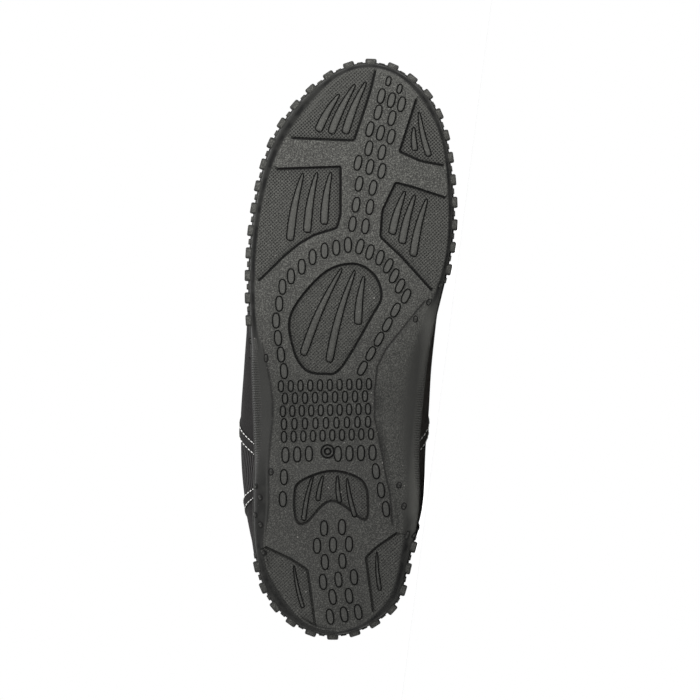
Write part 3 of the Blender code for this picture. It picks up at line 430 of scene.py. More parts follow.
def row_matrix():
    """The turn and shift from the upright shoe to the row, from the two mounts on the tread."""
    mounts = {mount["name"]: mount for mount in FRAME["record"]["mounts"]}
    toe, heel = (Vector(mounts[name]["pos_m"]) for name in ("forefoot_tread", "heel_tread"))
    up = -Vector(mounts["forefoot_tread"]["axis"]).normalized()
    toe_up = Vector((0.676 * LENGTH, 0.070 * BALL_WIDTH, 0))
    heel_up = Vector((0.134 * LENGTH, -0.094 * BALL_WIDTH, 0))
    ahead, ahead_up = (toe - heel).normalized(), (toe_up - heel_up).normalized()
    made = Matrix((ahead, up.cross(ahead), up)).transposed()
    upright = Matrix((ahead_up, Vector((0, 0, 1)).cross(ahead_up), Vector((0, 0, 1)))).transposed()
    turn = made @ upright.transposed()
    return Matrix.Translation(toe - turn @ toe_up) @ turn.to_4x4()


TO_ROW = row_matrix()


def linked(name, data):
    """A new object that holds the data, in the scene."""
    made = bpy.data.objects.new(name, data)
    bpy.context.scene.collection.objects.link(made)
    return made


class Mesh:
    """Points, faces and named values per point, gathered before Blender's mesh is made."""

    def __init__(self):
        self.points, self.faces, self.slots = [], [], []
        self.values = {}

    def add(self, points, faces, slot=0, **values):
        start = sum(len(block) for block in self.points)
        points = np.asarray(points, float).reshape(-1, 3)
        for name in set(self.values) | set(values):
            blocks = self.values.setdefault(name, [np.zeros(start)])
            blocks.append(np.broadcast_to(np.asarray(values.get(name, 0.0), float), len(points)))
        self.points.append(points)
        self.faces += [tuple(int(i) + start for i in face) for face in faces]
        self.slots += [slot] * len(faces)

    def object(self, name, merge=0.005 * MM, smooth=35, turn_out=True):
        mesh = bpy.data.meshes.new(name)
        mesh.from_pydata(np.concatenate(self.points).tolist(), [], self.faces)
        mesh.polygons.foreach_set("material_index", self.slots)
        for key, blocks in self.values.items():
            made = mesh.attributes.new(key, "FLOAT", "POINT")
            made.data.foreach_set("value", np.concatenate(blocks).astype(np.float32))
        work = bmesh.new()
        work.from_mesh(mesh)
        bmesh.ops.remove_doubles(work, verts=work.verts, dist=merge)
        bmesh.ops.delete(work, geom=[v for v in work.verts if not v.link_faces], context="VERTS")
        if turn_out:
            bmesh.ops.recalc_face_normals(work, faces=work.faces)
            if work.calc_volume(signed=True) < 0:
                bmesh.ops.reverse_faces(work, faces=work.faces)
        work.to_mesh(mesh)
        work.free()
        mesh.shade_smooth()
        mesh.set_sharp_from_angle(angle=math.radians(smooth))
        return linked(name, mesh)


def to_row(piece, materials, nodes=()):
    """Keeps the upright place of each point, lays the piece where the CAD shoe lies and hands it
    to the frame."""
    mesh = piece.data
    places = np.zeros(len(mesh.vertices) * 3, np.float32)
    mesh.vertices.foreach_get("co", places)
    kept = mesh.attributes.get("upright") or mesh.attributes.new("upright", "FLOAT_VECTOR", "POINT")
    kept.data.foreach_set("vector", places)
    mesh.transform(TO_ROW)
    mesh.update()
    mesh.materials.clear()
    for made in materials:
        mesh.materials.append(made)
    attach(piece, "root")
    if nodes:
        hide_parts(*nodes)
    return piece


def lengths_along(points, axis=0):
    """How far each point of a line or grid lies along it from its first point."""
    steps = np.linalg.norm(np.diff(points, axis=axis), axis=-1)
    return np.cumsum(np.concatenate([np.zeros_like(np.take(steps, [0], axis)), steps], axis), axis)


def ring_angles(count):
    return np.linspace(0, 2 * math.pi, count, endpoint=False)


def squared_circle(angle, squareness):
    """Cosine and sine of a ring that is fuller than a circle, which has a squareness of 2."""
    turns = np.stack([np.cos(angle), np.sin(angle)])
    return np.sign(turns) * np.abs(turns) ** (2 / squareness)


def faced(faces, side):
    """The faces of one side's grid, turned over on the inner side, so that both point outwards."""
    return [face[::-1] for face in faces] if side == MEDIAL else faces


def grid_faces(rows, columns, closed=True):
    """Quads of a grid of points laid out row after row."""
    faces = []
    for row in range(rows - 1):
        for i in range(columns if closed else columns - 1):
            after = (i + 1) % columns
            low, high = row * columns, (row + 1) * columns
            faces.append((low + i, low + after, high + after, high + i))
    return faces


# The tread as a height over its plan


def tread_places(pairs):
    return np.array(pairs, float) * (LENGTH, BALL_WIDTH)


def filleted(corners, radius=1.6 * MM, steps=4):
    """A closed outline with its corners rounded."""
    made, size = [], len(corners)
    for i in range(size):
        before, here, after = corners[i - 1], corners[i], corners[(i + 1) % size]
        back, ahead = before - here, after - here
        cut = min(radius, np.linalg.norm(back) * 0.45, np.linalg.norm(ahead) * 0.45)
        start = here + back / np.linalg.norm(back) * cut
        stop = here + ahead / np.linalg.norm(ahead) * cut
        for t in np.linspace(0, 1, steps):
            made.append((1 - t) ** 2 * start + 2 * t * (1 - t) * here + t**2 * stop)
    return np.array(made)


def rounded(corners, steps=7):
    """Points on a smooth closed curve through the corners."""
    points, size = [], len(corners)
    for i in range(size):
        a, b, c, d = (corners[(i + k) % size] for k in (-1, 0, 1, 2))
        for step in range(steps):
            t = step / steps
            bend = (2 * a - 5 * b + 4 * c - d) * t**2 + (3 * b - a - 3 * c + d) * t**3
            points.append((2 * b + (c - a) * t + bend) / 2)
    return np.array(points)


def resampled(points, step, closed=True):
    """The same line with no stretch longer than a step."""
    made = []
    last = len(points) if closed else len(points) - 1
    for i in range(last):
        start, stop = points[i], points[(i + 1) % len(points)]
        count = max(1, math.ceil(np.linalg.norm(stop - start) / step))
        made += [start + (stop - start) * k / count for k in range(count)]
    if not closed:
        made.append(points[-1])
    return np.array(made)


def shifted(points, distance, closed=True):
    """A line moved sideways, to its right when it is followed."""
    before, after = np.roll(points, 1, axis=0), np.roll(points, -1, axis=0)
    if not closed:
        before[0], after[-1] = points[0], points[-1]
    along = after - before
    along /= np.maximum(np.linalg.norm(along, axis=1, keepdims=True), 1e-12)
    return points + distance * np.stack([along[:, 1], -along[:, 0]], axis=1)


def area(points):
    nxt = np.roll(points, -1, axis=0)
    return float(np.sum(points[:, 0] * nxt[:, 1] - points[:, 1] * nxt[:, 0])) / 2


def outwards(points):
    """The outline turned so that shifted() moves it outwards."""
    return points if area(points) > 0 else points[::-1]


def line_distance(points, line, closed=True):
    starts = line if closed else line[:-1]
    stops = np.roll(line, -1, axis=0) if closed else line[1:]
    best = np.full(len(points), np.inf)
    for start, stop in zip(starts, stops):
        along = stop - start
        t = np.clip((points - start) @ along / max(along @ along, 1e-18), 0, 1)
        best = np.minimum(best, np.linalg.norm(points - start - t[:, None] * along, axis=1))
    return best


def within(points, polygon):
    inside = np.zeros(len(points), bool)
    for (ax, ay), (bx, by) in zip(polygon, np.roll(polygon, -1, axis=0)):
        crosses = (ay > points[:, 1]) != (by > points[:, 1])
        if ay != by:
            inside ^= crosses & (points[:, 0] < (bx - ax) * (points[:, 1] - ay) / (by - ay) + ax)
    return inside


def depth_in(points, polygon):
    """Distance to the outline, positive inside it."""
    distance = line_distance(points, polygon)
    return np.where(within(points, polygon), distance, -distance)


def ramp(value, start, stop):
    return np.clip((value - start) / (stop - start), 0, 1)


def panel_outlines():
    made = []
    for panel in PANELS:
        corners = tread_places(panel.corners)
        line = rounded(corners) if panel.smooth else filleted(corners)
        made.append(outwards(resampled(line, 2.5 * MM)))
    return made


def fin_outline(tip, foot, slim):
    """A slender leaf: a rounded tip that widens and fades towards its foot."""
    tip, foot = tread_places([tip, foot])
    length = np.linalg.norm(foot - tip)
    along = (foot - tip) / length
    across = np.array([-along[1], along[0]])
    t = np.array([0, 0.02, 0.06, 0.14, 0.28, 0.45, 0.62, 0.78, 0.93, 0.985, 1.0])
    half = np.array([0, 0.4, 0.62, 0.88, 1.15, 1.42, 1.62, 1.72, 1.72, 1.5, 0.9]) * MM * slim
    bow = 0.03 * length * np.sin(math.pi * t)
    middle = tip + np.outer(length * t, along) + np.outer(bow, across)
    left, right = middle + half[:, None] * across, middle - half[:, None] * across
    return outwards(np.concatenate([left, right[:0:-1]]))


def fin_outlines():
    return [fin_outline(*fin, panel.slim) for panel in PANELS for fin in panel.fins]


def lug_places():
    """(middle, half of the straight stretch as a vector, radius) of each oval."""
    made = []
    for row in LUG_ROWS:
        first, last = tread_places([row.first, row.last])
        lean = math.radians(row.lean)
        width, length = row.size
        half = np.array([math.cos(lean), math.sin(lean)]) * (length - width) / 2
        for i in range(row.count):
            made.append((first + (last - first) * i / (row.count - 1), half, width / 2))
    return made


def oval_outline(middle, half, radius, steps=24):
    """The outline of a lug whose half length is that of half and radius together."""
    length = np.linalg.norm(half)
    along = half / length
    across = np.array([-along[1], along[0]])
    far, wide = squared_circle(ring_angles(steps), LUG_SQUARENESS)
    return middle + np.outer(far * (length + radius), along) + np.outer(wide * radius, across)


# Shape of the moulded edges, in metres from each outline, positive inside: where the groove starts,
# reaches its depth, starts to rise again and has risen
PANEL_EDGE = (0.0, 0.25 * MM, 1.1 * MM, 1.4 * MM)
FIN_EDGE = (-0.45 * MM, -0.3 * MM, 0.0, 0.3 * MM)
LUG_EDGE = (-0.22 * MM, -0.04 * MM, 0.3 * MM, 0.6 * MM)
LINE_EDGE = 0.85 * MM
LINE_DEPTH = 0.7  # depth of a line as a share of a groove's
# PANEL_LINE and HEEL_LINE_DARK set the painted shade in the groove round a panel
PANEL_LINE = 0.95 * MM  # how far in the dark line round a panel is full
HEEL_LINE_DARK = 0.72  # and how dark it is at the heel
FIN_TOP, FIN_CROWN = 0.1 * MM, 0.6 * MM  # height of a fin's edge over the tread, and of its crown over that
FIN_PALE = 0.25  # how worn a fin is at its edge
CROWN_REACH = 1.2 * MM
LUG_SQUARENESS = 2.5
LUG_REACH = 8 * MM  # half the size of the area that an oval is worked out in
GRID_MARGIN = 1.5 * MM  # from the tread's border to the nearest point inside it

# Moulding gate: distance from its middle and height over the tread in mm, darkness of its painted shade
GATE_PROFILE = [(0, 0.1, 0), (0.9, 0.1, 0), (1.15, -0.7, 1), (1.75, -0.7, 1), (2.05, 0.25, 0)]
GATE_PROFILE += [(2.6, 0.25, 0), (2.85, -0.7, 1), (3.4, -0.7, 1), (3.7, 0, 0)]


def moulded_lines():
    lines = ((ARCH_LINE, 4 * MM), (HEEL_LINE, 3 * MM))
    return [resampled(tread_places(line), step, closed=False) for line, step in lines]


def tread_values(points, groove):
    """Level over the plain tread, and masks of panel floor, raised tops and the painted shade in the
    grooves.
    """
    level = np.zeros(len(points))
    panel, raised, dark = np.zeros(len(points)), np.zeros(len(points)), np.zeros(len(points))
    deep = -PANEL_DEPTH - groove
    for line in panel_outlines():
        depth = depth_in(points, line)
        inside = depth > 0
        floor = np.interp(depth, PANEL_EDGE, (0, deep, deep, -PANEL_DEPTH))
        level = np.where(inside, floor, level)
        panel = np.where(inside, ramp(depth, PANEL_EDGE[1], PANEL_EDGE[2]), panel)
        # Painted shade in the groove just inside the panel's outline, lighter at the heel
        edge = ramp(depth, 0, PANEL_EDGE[1]) * (1 - ramp(depth, PANEL_LINE, PANEL_EDGE[3] + 0.2 * MM))
        shade = np.interp(points[:, 0], (0.05, 0.1), (HEEL_LINE_DARK, 1))
        dark = np.where(inside, edge * shade, dark)
    for line in moulded_lines():
        distance = line_distance(points, line, closed=False)
        near = 1 - ramp(distance, 0, LINE_EDGE)
        level = level - LINE_DEPTH * groove * near
        # Painted shade along the moulded lines
        dark = np.maximum(dark, 0.85 * near)
    features = []
    for line in fin_outlines():
        features.append((depth_in(points, line), FIN_EDGE, FIN_TOP, FIN_CROWN, PANEL_DEPTH, FIN_PALE))
    for middle, half, radius in lug_places():
        near = np.linalg.norm(points - middle, axis=1) < LUG_REACH
        depth = np.full(len(points), -1.0)
        depth[near] = depth_in(points[near], oval_outline(middle, half, radius))
        features.append((depth, LUG_EDGE, LUG_HEIGHT, 0.0, 0.0, 1.0))
    for depth, (a, b, c, d), top, crown, sunk, pale in features:
        near, down, up = depth > a, ramp(depth, a, b), ramp(depth, c, d)
        foot = level * (1 - down) - (sunk + groove) * down
        peak = top + crown * ramp(depth, d, d + CROWN_REACH)
        level = np.where(near, foot * (1 - up) + peak * up, level)
        paleness = pale + (1 - pale) * ramp(depth, d + 0.1 * MM, d + 0.7 * MM)
        raised = np.where(near, up * paleness, raised)
        panel = np.where(near, panel * (1 - down), panel)
        # Painted shade in the groove round each fin and oval
        dark = np.where(near, np.maximum(down * (1 - up), dark * (1 - down)), dark)
    radius, height, shade = np.array(GATE_PROFILE).T
    away = np.linalg.norm(points - tread_places([GATE_PLACE])[0], axis=1) / MM
    gate = away < radius[-1]
    level = np.where(gate, np.interp(away, radius, height) * MM, level)
    # Painted shade in the gate's grooves
    dark = np.where(gate, np.interp(away, radius, shade), dark)
    return level, panel, raised, dark


def tread_rings():
    """Every closed or open line on which the tread's height has an edge."""
    rings = []
    for line in panel_outlines():
        rings += [(shifted(line, -edge), True) for edge in (*PANEL_EDGE, PANEL_LINE)]
    for line in fin_outlines():
        rings += [(shifted(line, -edge), True) for edge in (*FIN_EDGE, 0.9 * MM)]
    for middle, half, radius in lug_places():
        rings += [(shifted(oval_outline(middle, half, radius), -edge), True) for edge in LUG_EDGE]
    gate = tread_places([GATE_PLACE])[0]
    angles = ring_angles(28)
    circle = np.stack([np.cos(angles), np.sin(angles)], axis=1) * MM
    rings += [(gate + circle * radius, True) for radius, _, _ in GATE_PROFILE[1:]]
    for line in moulded_lines():
        rings += [(shifted(line, side, closed=False), False) for side in (-LINE_EDGE, 0, LINE_EDGE)]
    return rings


def tread_mesh(count=300):
    """A triangle mesh of the tread in plan whose edges follow every moulded line. Returns its
    points, faces and the outline parameters of its border, in order."""
    turned = ring_angles(count)
    border = tread_outline(turned)
    places, edges = [border], [(i, (i + 1) % count) for i in range(count)]
    total = count
    for line, closed in tread_rings():
        keep = within(line, border)
        size = len(line)
        places.append(line)
        for i in range(size if closed else size - 1):
            if keep[i] or keep[(i + 1) % size]:
                edges.append((total + i, total + (i + 1) % size))
        total += size
    xs, ys = np.meshgrid(np.arange(4, 282, 4) * MM, np.arange(-54, 58, 4) * MM)
    grid = np.stack([xs.ravel(), ys.ravel()], axis=1)
    grid = grid[depth_in(grid, border) > GRID_MARGIN]
    places.append(grid)
    places = [Vector(p) for p in np.concatenate(places).tolist()]
    found = delaunay_2d_cdt(places, edges, [tuple(range(count))], 1, 1e-7)
    plan = np.array([tuple(p) for p in found[0]])
    faces = [face for face, origin in zip(found[2], found[5]) if 0 in origin]
    return plan, faces, border_loop(faces)


def border_loop(faces):
    """The border's points in order, from the faces' unpaired edges."""
    ends = {}
    for face in faces:
        for a, b in zip(face, (*face[1:], face[0])):
            if (b, a) in ends:
                del ends[(b, a)]
            else:
                ends[(a, b)] = True
    following = dict(ends.keys())
    start = next(iter(following))
    loop, here = [start], following[start]
    while here != start and len(loop) <= len(following):
        loop.append(here)
        here = following[here]
    return loop


def parameters_of(points):
    """Outline parameters of points that lie on the tread's border."""
    fine = np.linspace(0, 2 * math.pi, 6001)
    line = tread_outline(fine)
    made = []
    for point in points:
        distance = np.linalg.norm(line - point, axis=1)
        made.append(fine[int(np.argmin(distance))] % (2 * math.pi))
    return np.array(made)


# The turned side: fraction of the turn and how deep the channel is there, which is darkened with painted
# shade
TURN_ROWS = [(0, 0), (0.07, 0), (0.14, 0), (0.21, 0), (0.28, 0.3), (0.35, 0.85), (0.42, 1), (0.5, 1)]
TURN_ROWS += [(0.58, 0.6), (0.66, 0.15), (0.74, 0), (0.83, 0), (0.91, 0), (1, 0)]
CHANNEL_DEPTH = 0.8 * MM
FOLLOWS_TREAD = 6  # rows over which the tread's relief fades out

# The rim's band: offset from the rim's outline and height over the rim's top, in mm. The first rows
# are the groove under the band, darkened with painted shade, and the band's pale face.
BAND_ROWS = [(-0.7, -4.1), (-1.0, -4.0), (-1.0, -3.7), (-0.25, -3.45), (0.0, -3.1), (0.0, -0.5)]
BAND_ROWS += [(-0.15, -0.15), (-0.5, 0.0), (-2.9, 0.0), (-3.3, -0.4)]
BAND_GROOVE, BAND_FACE = (1, 2), (3, 4, 5, 6)
WALL_TOP = 4.2 * MM  # the wall's upper end under the rim's top


def padded(turned):
    """1 where forefoot and heel have their pads, 0 at the waist."""
    share, outer = share_of(turned), is_outer(turned)
    front, back = np.where(outer, *PADDED_FOREFOOT), np.where(outer, *PADDED_HEEL)
    return np.maximum(ramp(share, front - 0.05, front + 0.01), 1 - ramp(share, back, back + 0.05))


def inner_waist(turned):
    """1 on the arch's slope, where the tread's grain runs on up the side."""
    share = share_of(turned)
    return ~is_outer(turned) * ramp(share, 0.18, 0.26) * (1 - ramp(share, 0.55, 0.62))


def side_rows(turned):
    """Rows of points from the tread's border up the side and over the rim, each with its masks:
    how smooth, dark and pale it is. The rubber darkens the smooth parts as painted shade, and the
    dark mask is painted shade in the channel beside the pads, along the tread's edge at the waist,
    on the wall between the pads and in the groove under the band. The outer side of the heel is
    murky, which the dark mask also holds, and toe and heel have a pale lip beside the tread."""
    rows = []
    has_pads, arch, share = padded(turned), inner_waist(turned), share_of(turned)
    grain_end = 0.02 + 0.26 * has_pads + 0.36 * arch
    murky = (1 - ramp(share, 0.25, 0.33)) * is_outer(turned)
    lip = ramp(share, 0.87, 0.93) + 0.5 * (1 - ramp(share, 0.04, 0.08))
    for fraction, channel in TURN_ROWS:
        points = turn_points(turned, fraction)
        # The channel beside the pads is sunk and darkened with painted shade
        sunk = channel * has_pads
        points[:, 2] += CHANNEL_DEPTH * sunk
        smooth = ramp(fraction, grain_end, grain_end + 0.1)
        # Painted shade: a dark line along the tread's edge where there are neither pads nor arch
        edge = 0.8 * (fraction == 0.07) * (1 - has_pads) * (1 - arch)
        murk = 0.75 * murky * (0.2 < fraction < 0.9)
        pale = 0.4 * has_pads * (fraction > 0.7) + lip * (0.05 < fraction < 0.2)
        rows.append((points, smooth, np.maximum(np.maximum(sunk, edge), murk), pale))
    top, foot = rim_top(turned), rows[-1][0][:, 2]
    for through in (0.25, 0.5, 0.75):
        place = rim_outline(turned, -RIM_STEP - 0.25 * MM * math.sin(math.pi * through))
        height = foot + (top - WALL_TOP - foot) * through
        # Painted shade on the wall between the pads
        rows.append((np.column_stack([place, height]), 1.0, 0.5 * has_pads, 0.0))
    for i, (out, down) in enumerate(BAND_ROWS):
        points = np.column_stack([rim_outline(turned, out * MM), top + down * MM])
        rows.append((points, 0.8, 0.8 * (i in BAND_GROOVE), 0.4 * (i in BAND_FACE)))
    rows += [(turn_points(turned, f, inner=True), 1.0, 0.0, 0.0) for f in (1, 0.66, 0.33, 0)]
    return rows


# The upper's surface


def ridge_height(share):
    through = ramp(share, TOE_ROUNDED_FROM, 1.0)
    low = WIDEST(share)
    return low + (RIDGE(share) - low) * np.sqrt(np.maximum(1 - through**2, 0))


def arch_angle(share, height):
    low, high = WIDEST(share), ridge_height(share)
    return np.arcsin(np.clip((height - low) / np.maximum(high - low, 1e-9), 0, 1) ** (ROUNDNESS / 2))


def heel_shift(share, height, leaves):
    fade = np.maximum(1 - share / 0.3, 0) ** 2
    widest = WIDEST(share)
    above = np.maximum(height - widest, 0) / (COLLAR_BACK - widest)
    through = np.clip((height - leaves) / (widest - leaves) / 2, 0, 1)
    return fade * (HEEL_LEAN * above**2 - HEEL_SWELL * np.sin(math.pi * through) ** 2)


def upper_points(turned, row):
    """Points of the upper's outer surface. Rows: 0 feather edge, 1 rim, 2 widest line, 3 top."""
    share = share_of(turned)
    inset = RIM_STEP + SIDE_WALL + GAP
    widest, bulge = WIDEST(share), by_side(BULGE, turned)
    leaves = rim_top(turned) + EXIT_RISE
    seat = turn_points(turned, 1, inner=True)[..., 2] + GAP
    ease = (1 - np.cos(math.pi * ramp(row, 1, 2))) / 2
    low = rim_outline(turned, bulge * ease - inset)
    low_height = np.where(row <= 1, seat + (leaves - seat) * row, leaves + (widest - leaves) * (row - 1))
    top = np.where(share < COLLAR_FRONT, arch_angle(share, TOP_LINE(share)), math.pi / 2)
    angle = top * ramp(row, 2, 3)
    wide = rim_outline(turned, bulge - inset)
    along = PAD_PROUD + inset + (LENGTH - 2 * PAD_PROUD - 2 * inset) * share
    ridge = np.stack([along, swing(share) + RIDGE_ACROSS(share)], axis=-1)
    narrow = np.maximum(np.cos(angle), 0)[..., None] ** (2 / ROUNDNESS)
    high = ridge + (wide - ridge) * narrow
    high_height = widest + (ridge_height(share) - widest) * np.sin(angle) ** (2 / ROUNDNESS)
    place = np.where((row <= 2)[..., None], low, high)
    height = np.where(row <= 2, low_height, high_height)
    made = np.concatenate([place, height[..., None]], axis=-1)
    made[..., 0] += heel_shift(share, height, leaves)
    return made


SWAY_SHAPE = spline((0, 0.2, 0.385, 0.5, 0.7, 1), (1.15, 1, 0.62, 0.3, 0.02, 0))


def seam_share(foot, top, level):
    """Share of LENGTH of a column's point on its way from the feather edge to the top line."""
    through = ramp(level, 1, 3)
    sway = SEAM_SWAY * np.clip((foot - top) / 0.05, -1, 1)
    return foot + (top - foot) * through + sway * SWAY_SHAPE(through)


def binding_row(share):
    beside = 0.93
    top = arch_angle(share, TOP_LINE(share))
    low = arch_angle(share, TOP_LINE(share) - BINDING_WIDTH)
    through = ramp(share, 0.8 * COLLAR_FRONT, COLLAR_FRONT)
    edge = (low / np.maximum(top, 1e-9)) * (1 - through) + beside * through
    return 2 + np.where(share >= COLLAR_FRONT, beside, edge)


def size_value(name, description, default):
    return bpy.props.FloatProperty(name=name, description=description, default=default, unit="LENGTH")


def colour_value(name, description, default):
    return bpy.props.FloatVectorProperty(
        name=name, description=description, default=default, subtype="COLOR"
    )


class ShoeSizes(bpy.types.PropertyGroup):
    """Sizes of the shoe's details that a user may change."""

    groove: size_value("Groove depth", "Depth of the grooves round ovals, fins and panels", 0.0005)
    hem: size_value("Hem step", "How far the hems beside the gores stand proud", 0.0005)
    binding: size_value("Binding step", "How far the collar binding stands proud", 0.0009)
    stitch: size_value("Stitch length", "Length of one stitch of the hems", 0.0019)
    stitch_pitch: size_value("Stitch pitch", "Distance from one stitch to the next", 0.0024)
    thread: size_value("Thread thickness", "Thickness of the stitching thread", 0.00048)


class ShoeColours(bpy.types.PropertyGroup):
    """Base colours of the shoe's finishes."""

    rubber: colour_value("Rubber", "Colour of the moulded rubber", (0.0215, 0.0215, 0.0195))
    fabric: colour_value("Fabric", "Colour of the stretch fabric", (0.0135, 0.0128, 0.0128))
    lining: colour_value("Lining", "Colour of the lining and the footbed's cover", (0.022, 0.022, 0.024))
    thread: colour_value("Thread", "Colour of the stitching thread", (0.66, 0.66, 0.64))


# Shader maths


class Socket:
    """A shader socket with arithmetic: each operation adds its Math node."""

    def __init__(self, nodes, socket):
        self.nodes, self.socket = nodes, socket

    def math(self, operation, first, second):
        return self.nodes.add("ShaderNodeMath", {"operation": operation}, {0: first, 1: second})

    def __add__(self, other):
        return self.math("ADD", self, other)

    def __sub__(self, other):
        return self.math("SUBTRACT", self, other)

    def __mul__(self, other):
        return self.math("MULTIPLY", self, other)

    def __rsub__(self, other):
        return self.math("SUBTRACT", other, self)

    __radd__, __rmul__ = __add__, __mul__


class Nodes:
    """The node tree of one material."""

    def __init__(self, name):
        self.material = bpy.data.materials.new(name)
        self.material.use_nodes = True
        self.tree = self.material.node_tree
        self.shader = self.tree.nodes["Principled BSDF"]

    def add(self, kind, settings=None, sockets=None, output=0):
        node = self.tree.nodes.new(kind)
        for key, value in (settings or {}).items():
            setattr(node, key, value)
        for key, value in (sockets or {}).items():
            self.set(node.inputs[key], value)
        return Socket(self, node.outputs[output])

    def set(self, target, value):
        if isinstance(value, Socket):
            self.tree.links.new(value.socket, target)
        elif hasattr(value, "__len__") and len(target.default_value) == 4 and len(value) == 3:
            target.default_value = (*value, 1)
        else:
            target.default_value = value

    def attribute(self, name, vector=False):
        return self.add("ShaderNodeAttribute", {"attribute_name": name}, output=1 if vector else 2)

    def noise(self, place, scale, detail=3.0, roughness=0.55):
        sockets = {"Vector": place, "Scale": scale, "Detail": detail, "Roughness": roughness}
        return self.add("ShaderNodeTexNoise", {}, sockets)

    def waves(self, place, pitch, direction="X", distortion=0.0):
        """Ribs from 0 to 1 and back, once in each pitch."""
        settings = {"wave_type": "BANDS", "bands_direction": direction, "wave_profile": "SIN"}
        sockets = {"Vector": place, "Scale": math.pi / 10 / pitch, "Distortion": distortion}
        return self.add("ShaderNodeTexWave", settings, sockets, 1)

    def along(self, place, axis):
        """One coordinate of a place: 0 ahead, 1 across, 2 up."""
        return self.add("ShaderNodeSeparateXYZ", {}, {"Vector": place}, axis)

    def lowest(self, first, second):
        return first.math("MINIMUM", first, second)

    def mix(self, factor, first, second):
        settings = {"data_type": "RGBA"}
        return self.add("ShaderNodeMix", settings, {0: factor, 6: first, 7: second}, output=2)

    def steps(self, value, low, high):
        """0 below low, 1 above high."""
        sockets = {"Value": value, "From Min": low, "From Max": high}
        return self.add("ShaderNodeMapRange", {"clamp": True}, sockets)

    def layered(self, base, colour, layers):
        """The base under layers of (mask, factor of the colour), the last one on top."""
        for mask, factor in layers:
            base = self.mix(mask, base, tint(colour, factor))
        return base

    def bump(self, height, distance, strength):
        sockets = {"Height": height, "Distance": distance, "Strength": strength}
        return self.add("ShaderNodeBump", {}, sockets)

    def finish(self, colour, roughness, normal=None, **fixed):
        self.set(self.shader.inputs["Base Color"], colour)
        self.set(self.shader.inputs["Roughness"], roughness)
        if normal is not None:
            self.set(self.shader.inputs["Normal"], normal)
        for name, value in fixed.items():
            self.set(self.shader.inputs[name.replace("_", " ")], value)
        return self.material


def tint(colour, factor):
    return tuple(min(max(channel * factor, 0), 1) for channel in colour)


# Hatching of the panel floors
HATCH_PITCH = 1.25 * MM
HATCH_ANGLE = math.radians(42)

# Cloth: stitches of the knit, ribs of the gores and cords of the binding
KNIT_PITCH = (0.62 * MM, 0.48 * MM)
GORE_RIB_PITCH = 1.5 * MM
BINDING_CORD_PITCH = 0.9 * MM
# The paler colour painted low on the fabric's inner side as light thrown back by the floor
PAINTED_BOUNCE_LIGHT = (0.056, 0.052, 0.046)
PALE_SPECK = (0.30, 0.29, 0.27)


def rubber_material(name, colour):
    """Moulded rubber: sandy grain, hatched panel floors and smoother tops, with painted shade in the
    grooves and on the turned sides, and painted light on the forefoot and the arch's inner wall.
    """
    n = Nodes(name)
    place = n.attribute("upright", vector=True)
    panel, raised, dark, smooth = (n.attribute(key) for key in ("panel", "raised", "dark", "smooth"))
    grain = n.noise(place, 1400, 1.0, 0.5)
    fine = n.noise(place, 2500, 1.0, 0.5)
    mottle = n.noise(place, 260, 4.0, 0.6)
    cloud = n.noise(place, 32, 2.0, 0.5)
    blobs = n.steps(n.noise(place, 150, 2.0, 0.5), 0.42, 0.56)
    specks = n.steps(n.noise(place, 800, 1.0, 0.4), 0.78, 0.81)
    turned = n.add("ShaderNodeMapping", {}, {"Vector": place, "Rotation": (0, 0, HATCH_ANGLE)})
    hatch = n.lowest(n.waves(turned, HATCH_PITCH, "X"), n.waves(turned, HATCH_PITCH, "Y"))
    ahead, across = n.along(place, 0), n.along(place, 1)
    # paleness: 0 up to the waist and 1 on the forefoot, which it makes paler as painted light from the toe
    # side
    paleness, toe = n.steps(ahead, 0.12, 0.2), n.steps(ahead, 0.17, 0.25)
    faded = n.steps(cloud, 0.62, 0.42)
    hatched = panel * (0.4 + 0.2 * paleness + 0.4 * toe * faded)
    sandy = 1 - raised * 0.35 - smooth * 0.85 - panel * toe * 0.35
    sand = n.steps(grain * 0.5 + fine * 0.5, 0.46, 0.60)
    pits = n.steps(grain * 0.5 + fine * 0.5, 0.46, 0.36)
    tone = n.steps(mottle * 0.4 + cloud * 0.6, 0.38, 0.62)
    # Painted light: the arch's inner wall, turned towards the floor and in shade, is made paler, most of
    # all along its outer edge
    arch = n.steps(ahead, 0.04, 0.055) * n.steps(ahead, 0.17, 0.155)
    wall_edge_painted_light = n.steps(across - n.steps(ahead, 0.08, 0.14) * 0.006, 0.0305, 0.0350)
    wall = n.steps(across, 0.026, 0.030) * 0.14 + wall_edge_painted_light * 0.81
    layers = [
        # Painted light: the heel is darker and the forefoot paler, as light from the toe side makes them
        (n.steps(ahead, 0.12, 0.03) * 0.5, 0.5),
        (paleness * sandy * 0.5, 1.9),
        (sandy * sand * (0.45 + paleness * 0.55), 4.6),
        (sandy * pits * 0.55, 0.35),
        (hatched * n.steps(hatch, 0.12, 0.0) * 0.7, 4.0),
        (hatched * n.steps(hatch, 0.15, 0.5) * 0.9, 0.25),
        (raised * (0.12 + paleness * 0.43), 3.0),
        # Painted shade: the smooth parts, the turned sides, rim and inside, are darker
        (smooth * 0.8, 0.62),
        # painted light on the arch's inner wall
        (arch * wall, 3.2),
        # Painted shade in the grooves, the channel and under the band, blotchy where smooth, with the murk
        # on the heel's outer side
        (dark * (1 - smooth * blobs * 0.6) * 0.97, 0.06),
    ]
    base = n.layered(n.mix(tone, tint(colour, 0.8), tint(colour, 1.25)), colour, layers)
    base = n.mix(specks * sandy * 0.6, base, PALE_SPECK)
    height = sand * sandy * 0.8 + mottle * 0.3 - hatch * panel * 1.4
    normal = n.bump(height, 0.3 * MM, 0.9)
    rough = 0.6 + 0.18 * n.noise(place, 160, 3.0) + dark * 0.2
    return n.finish(base, rough, normal, Specular_IOR_Level=0.26)


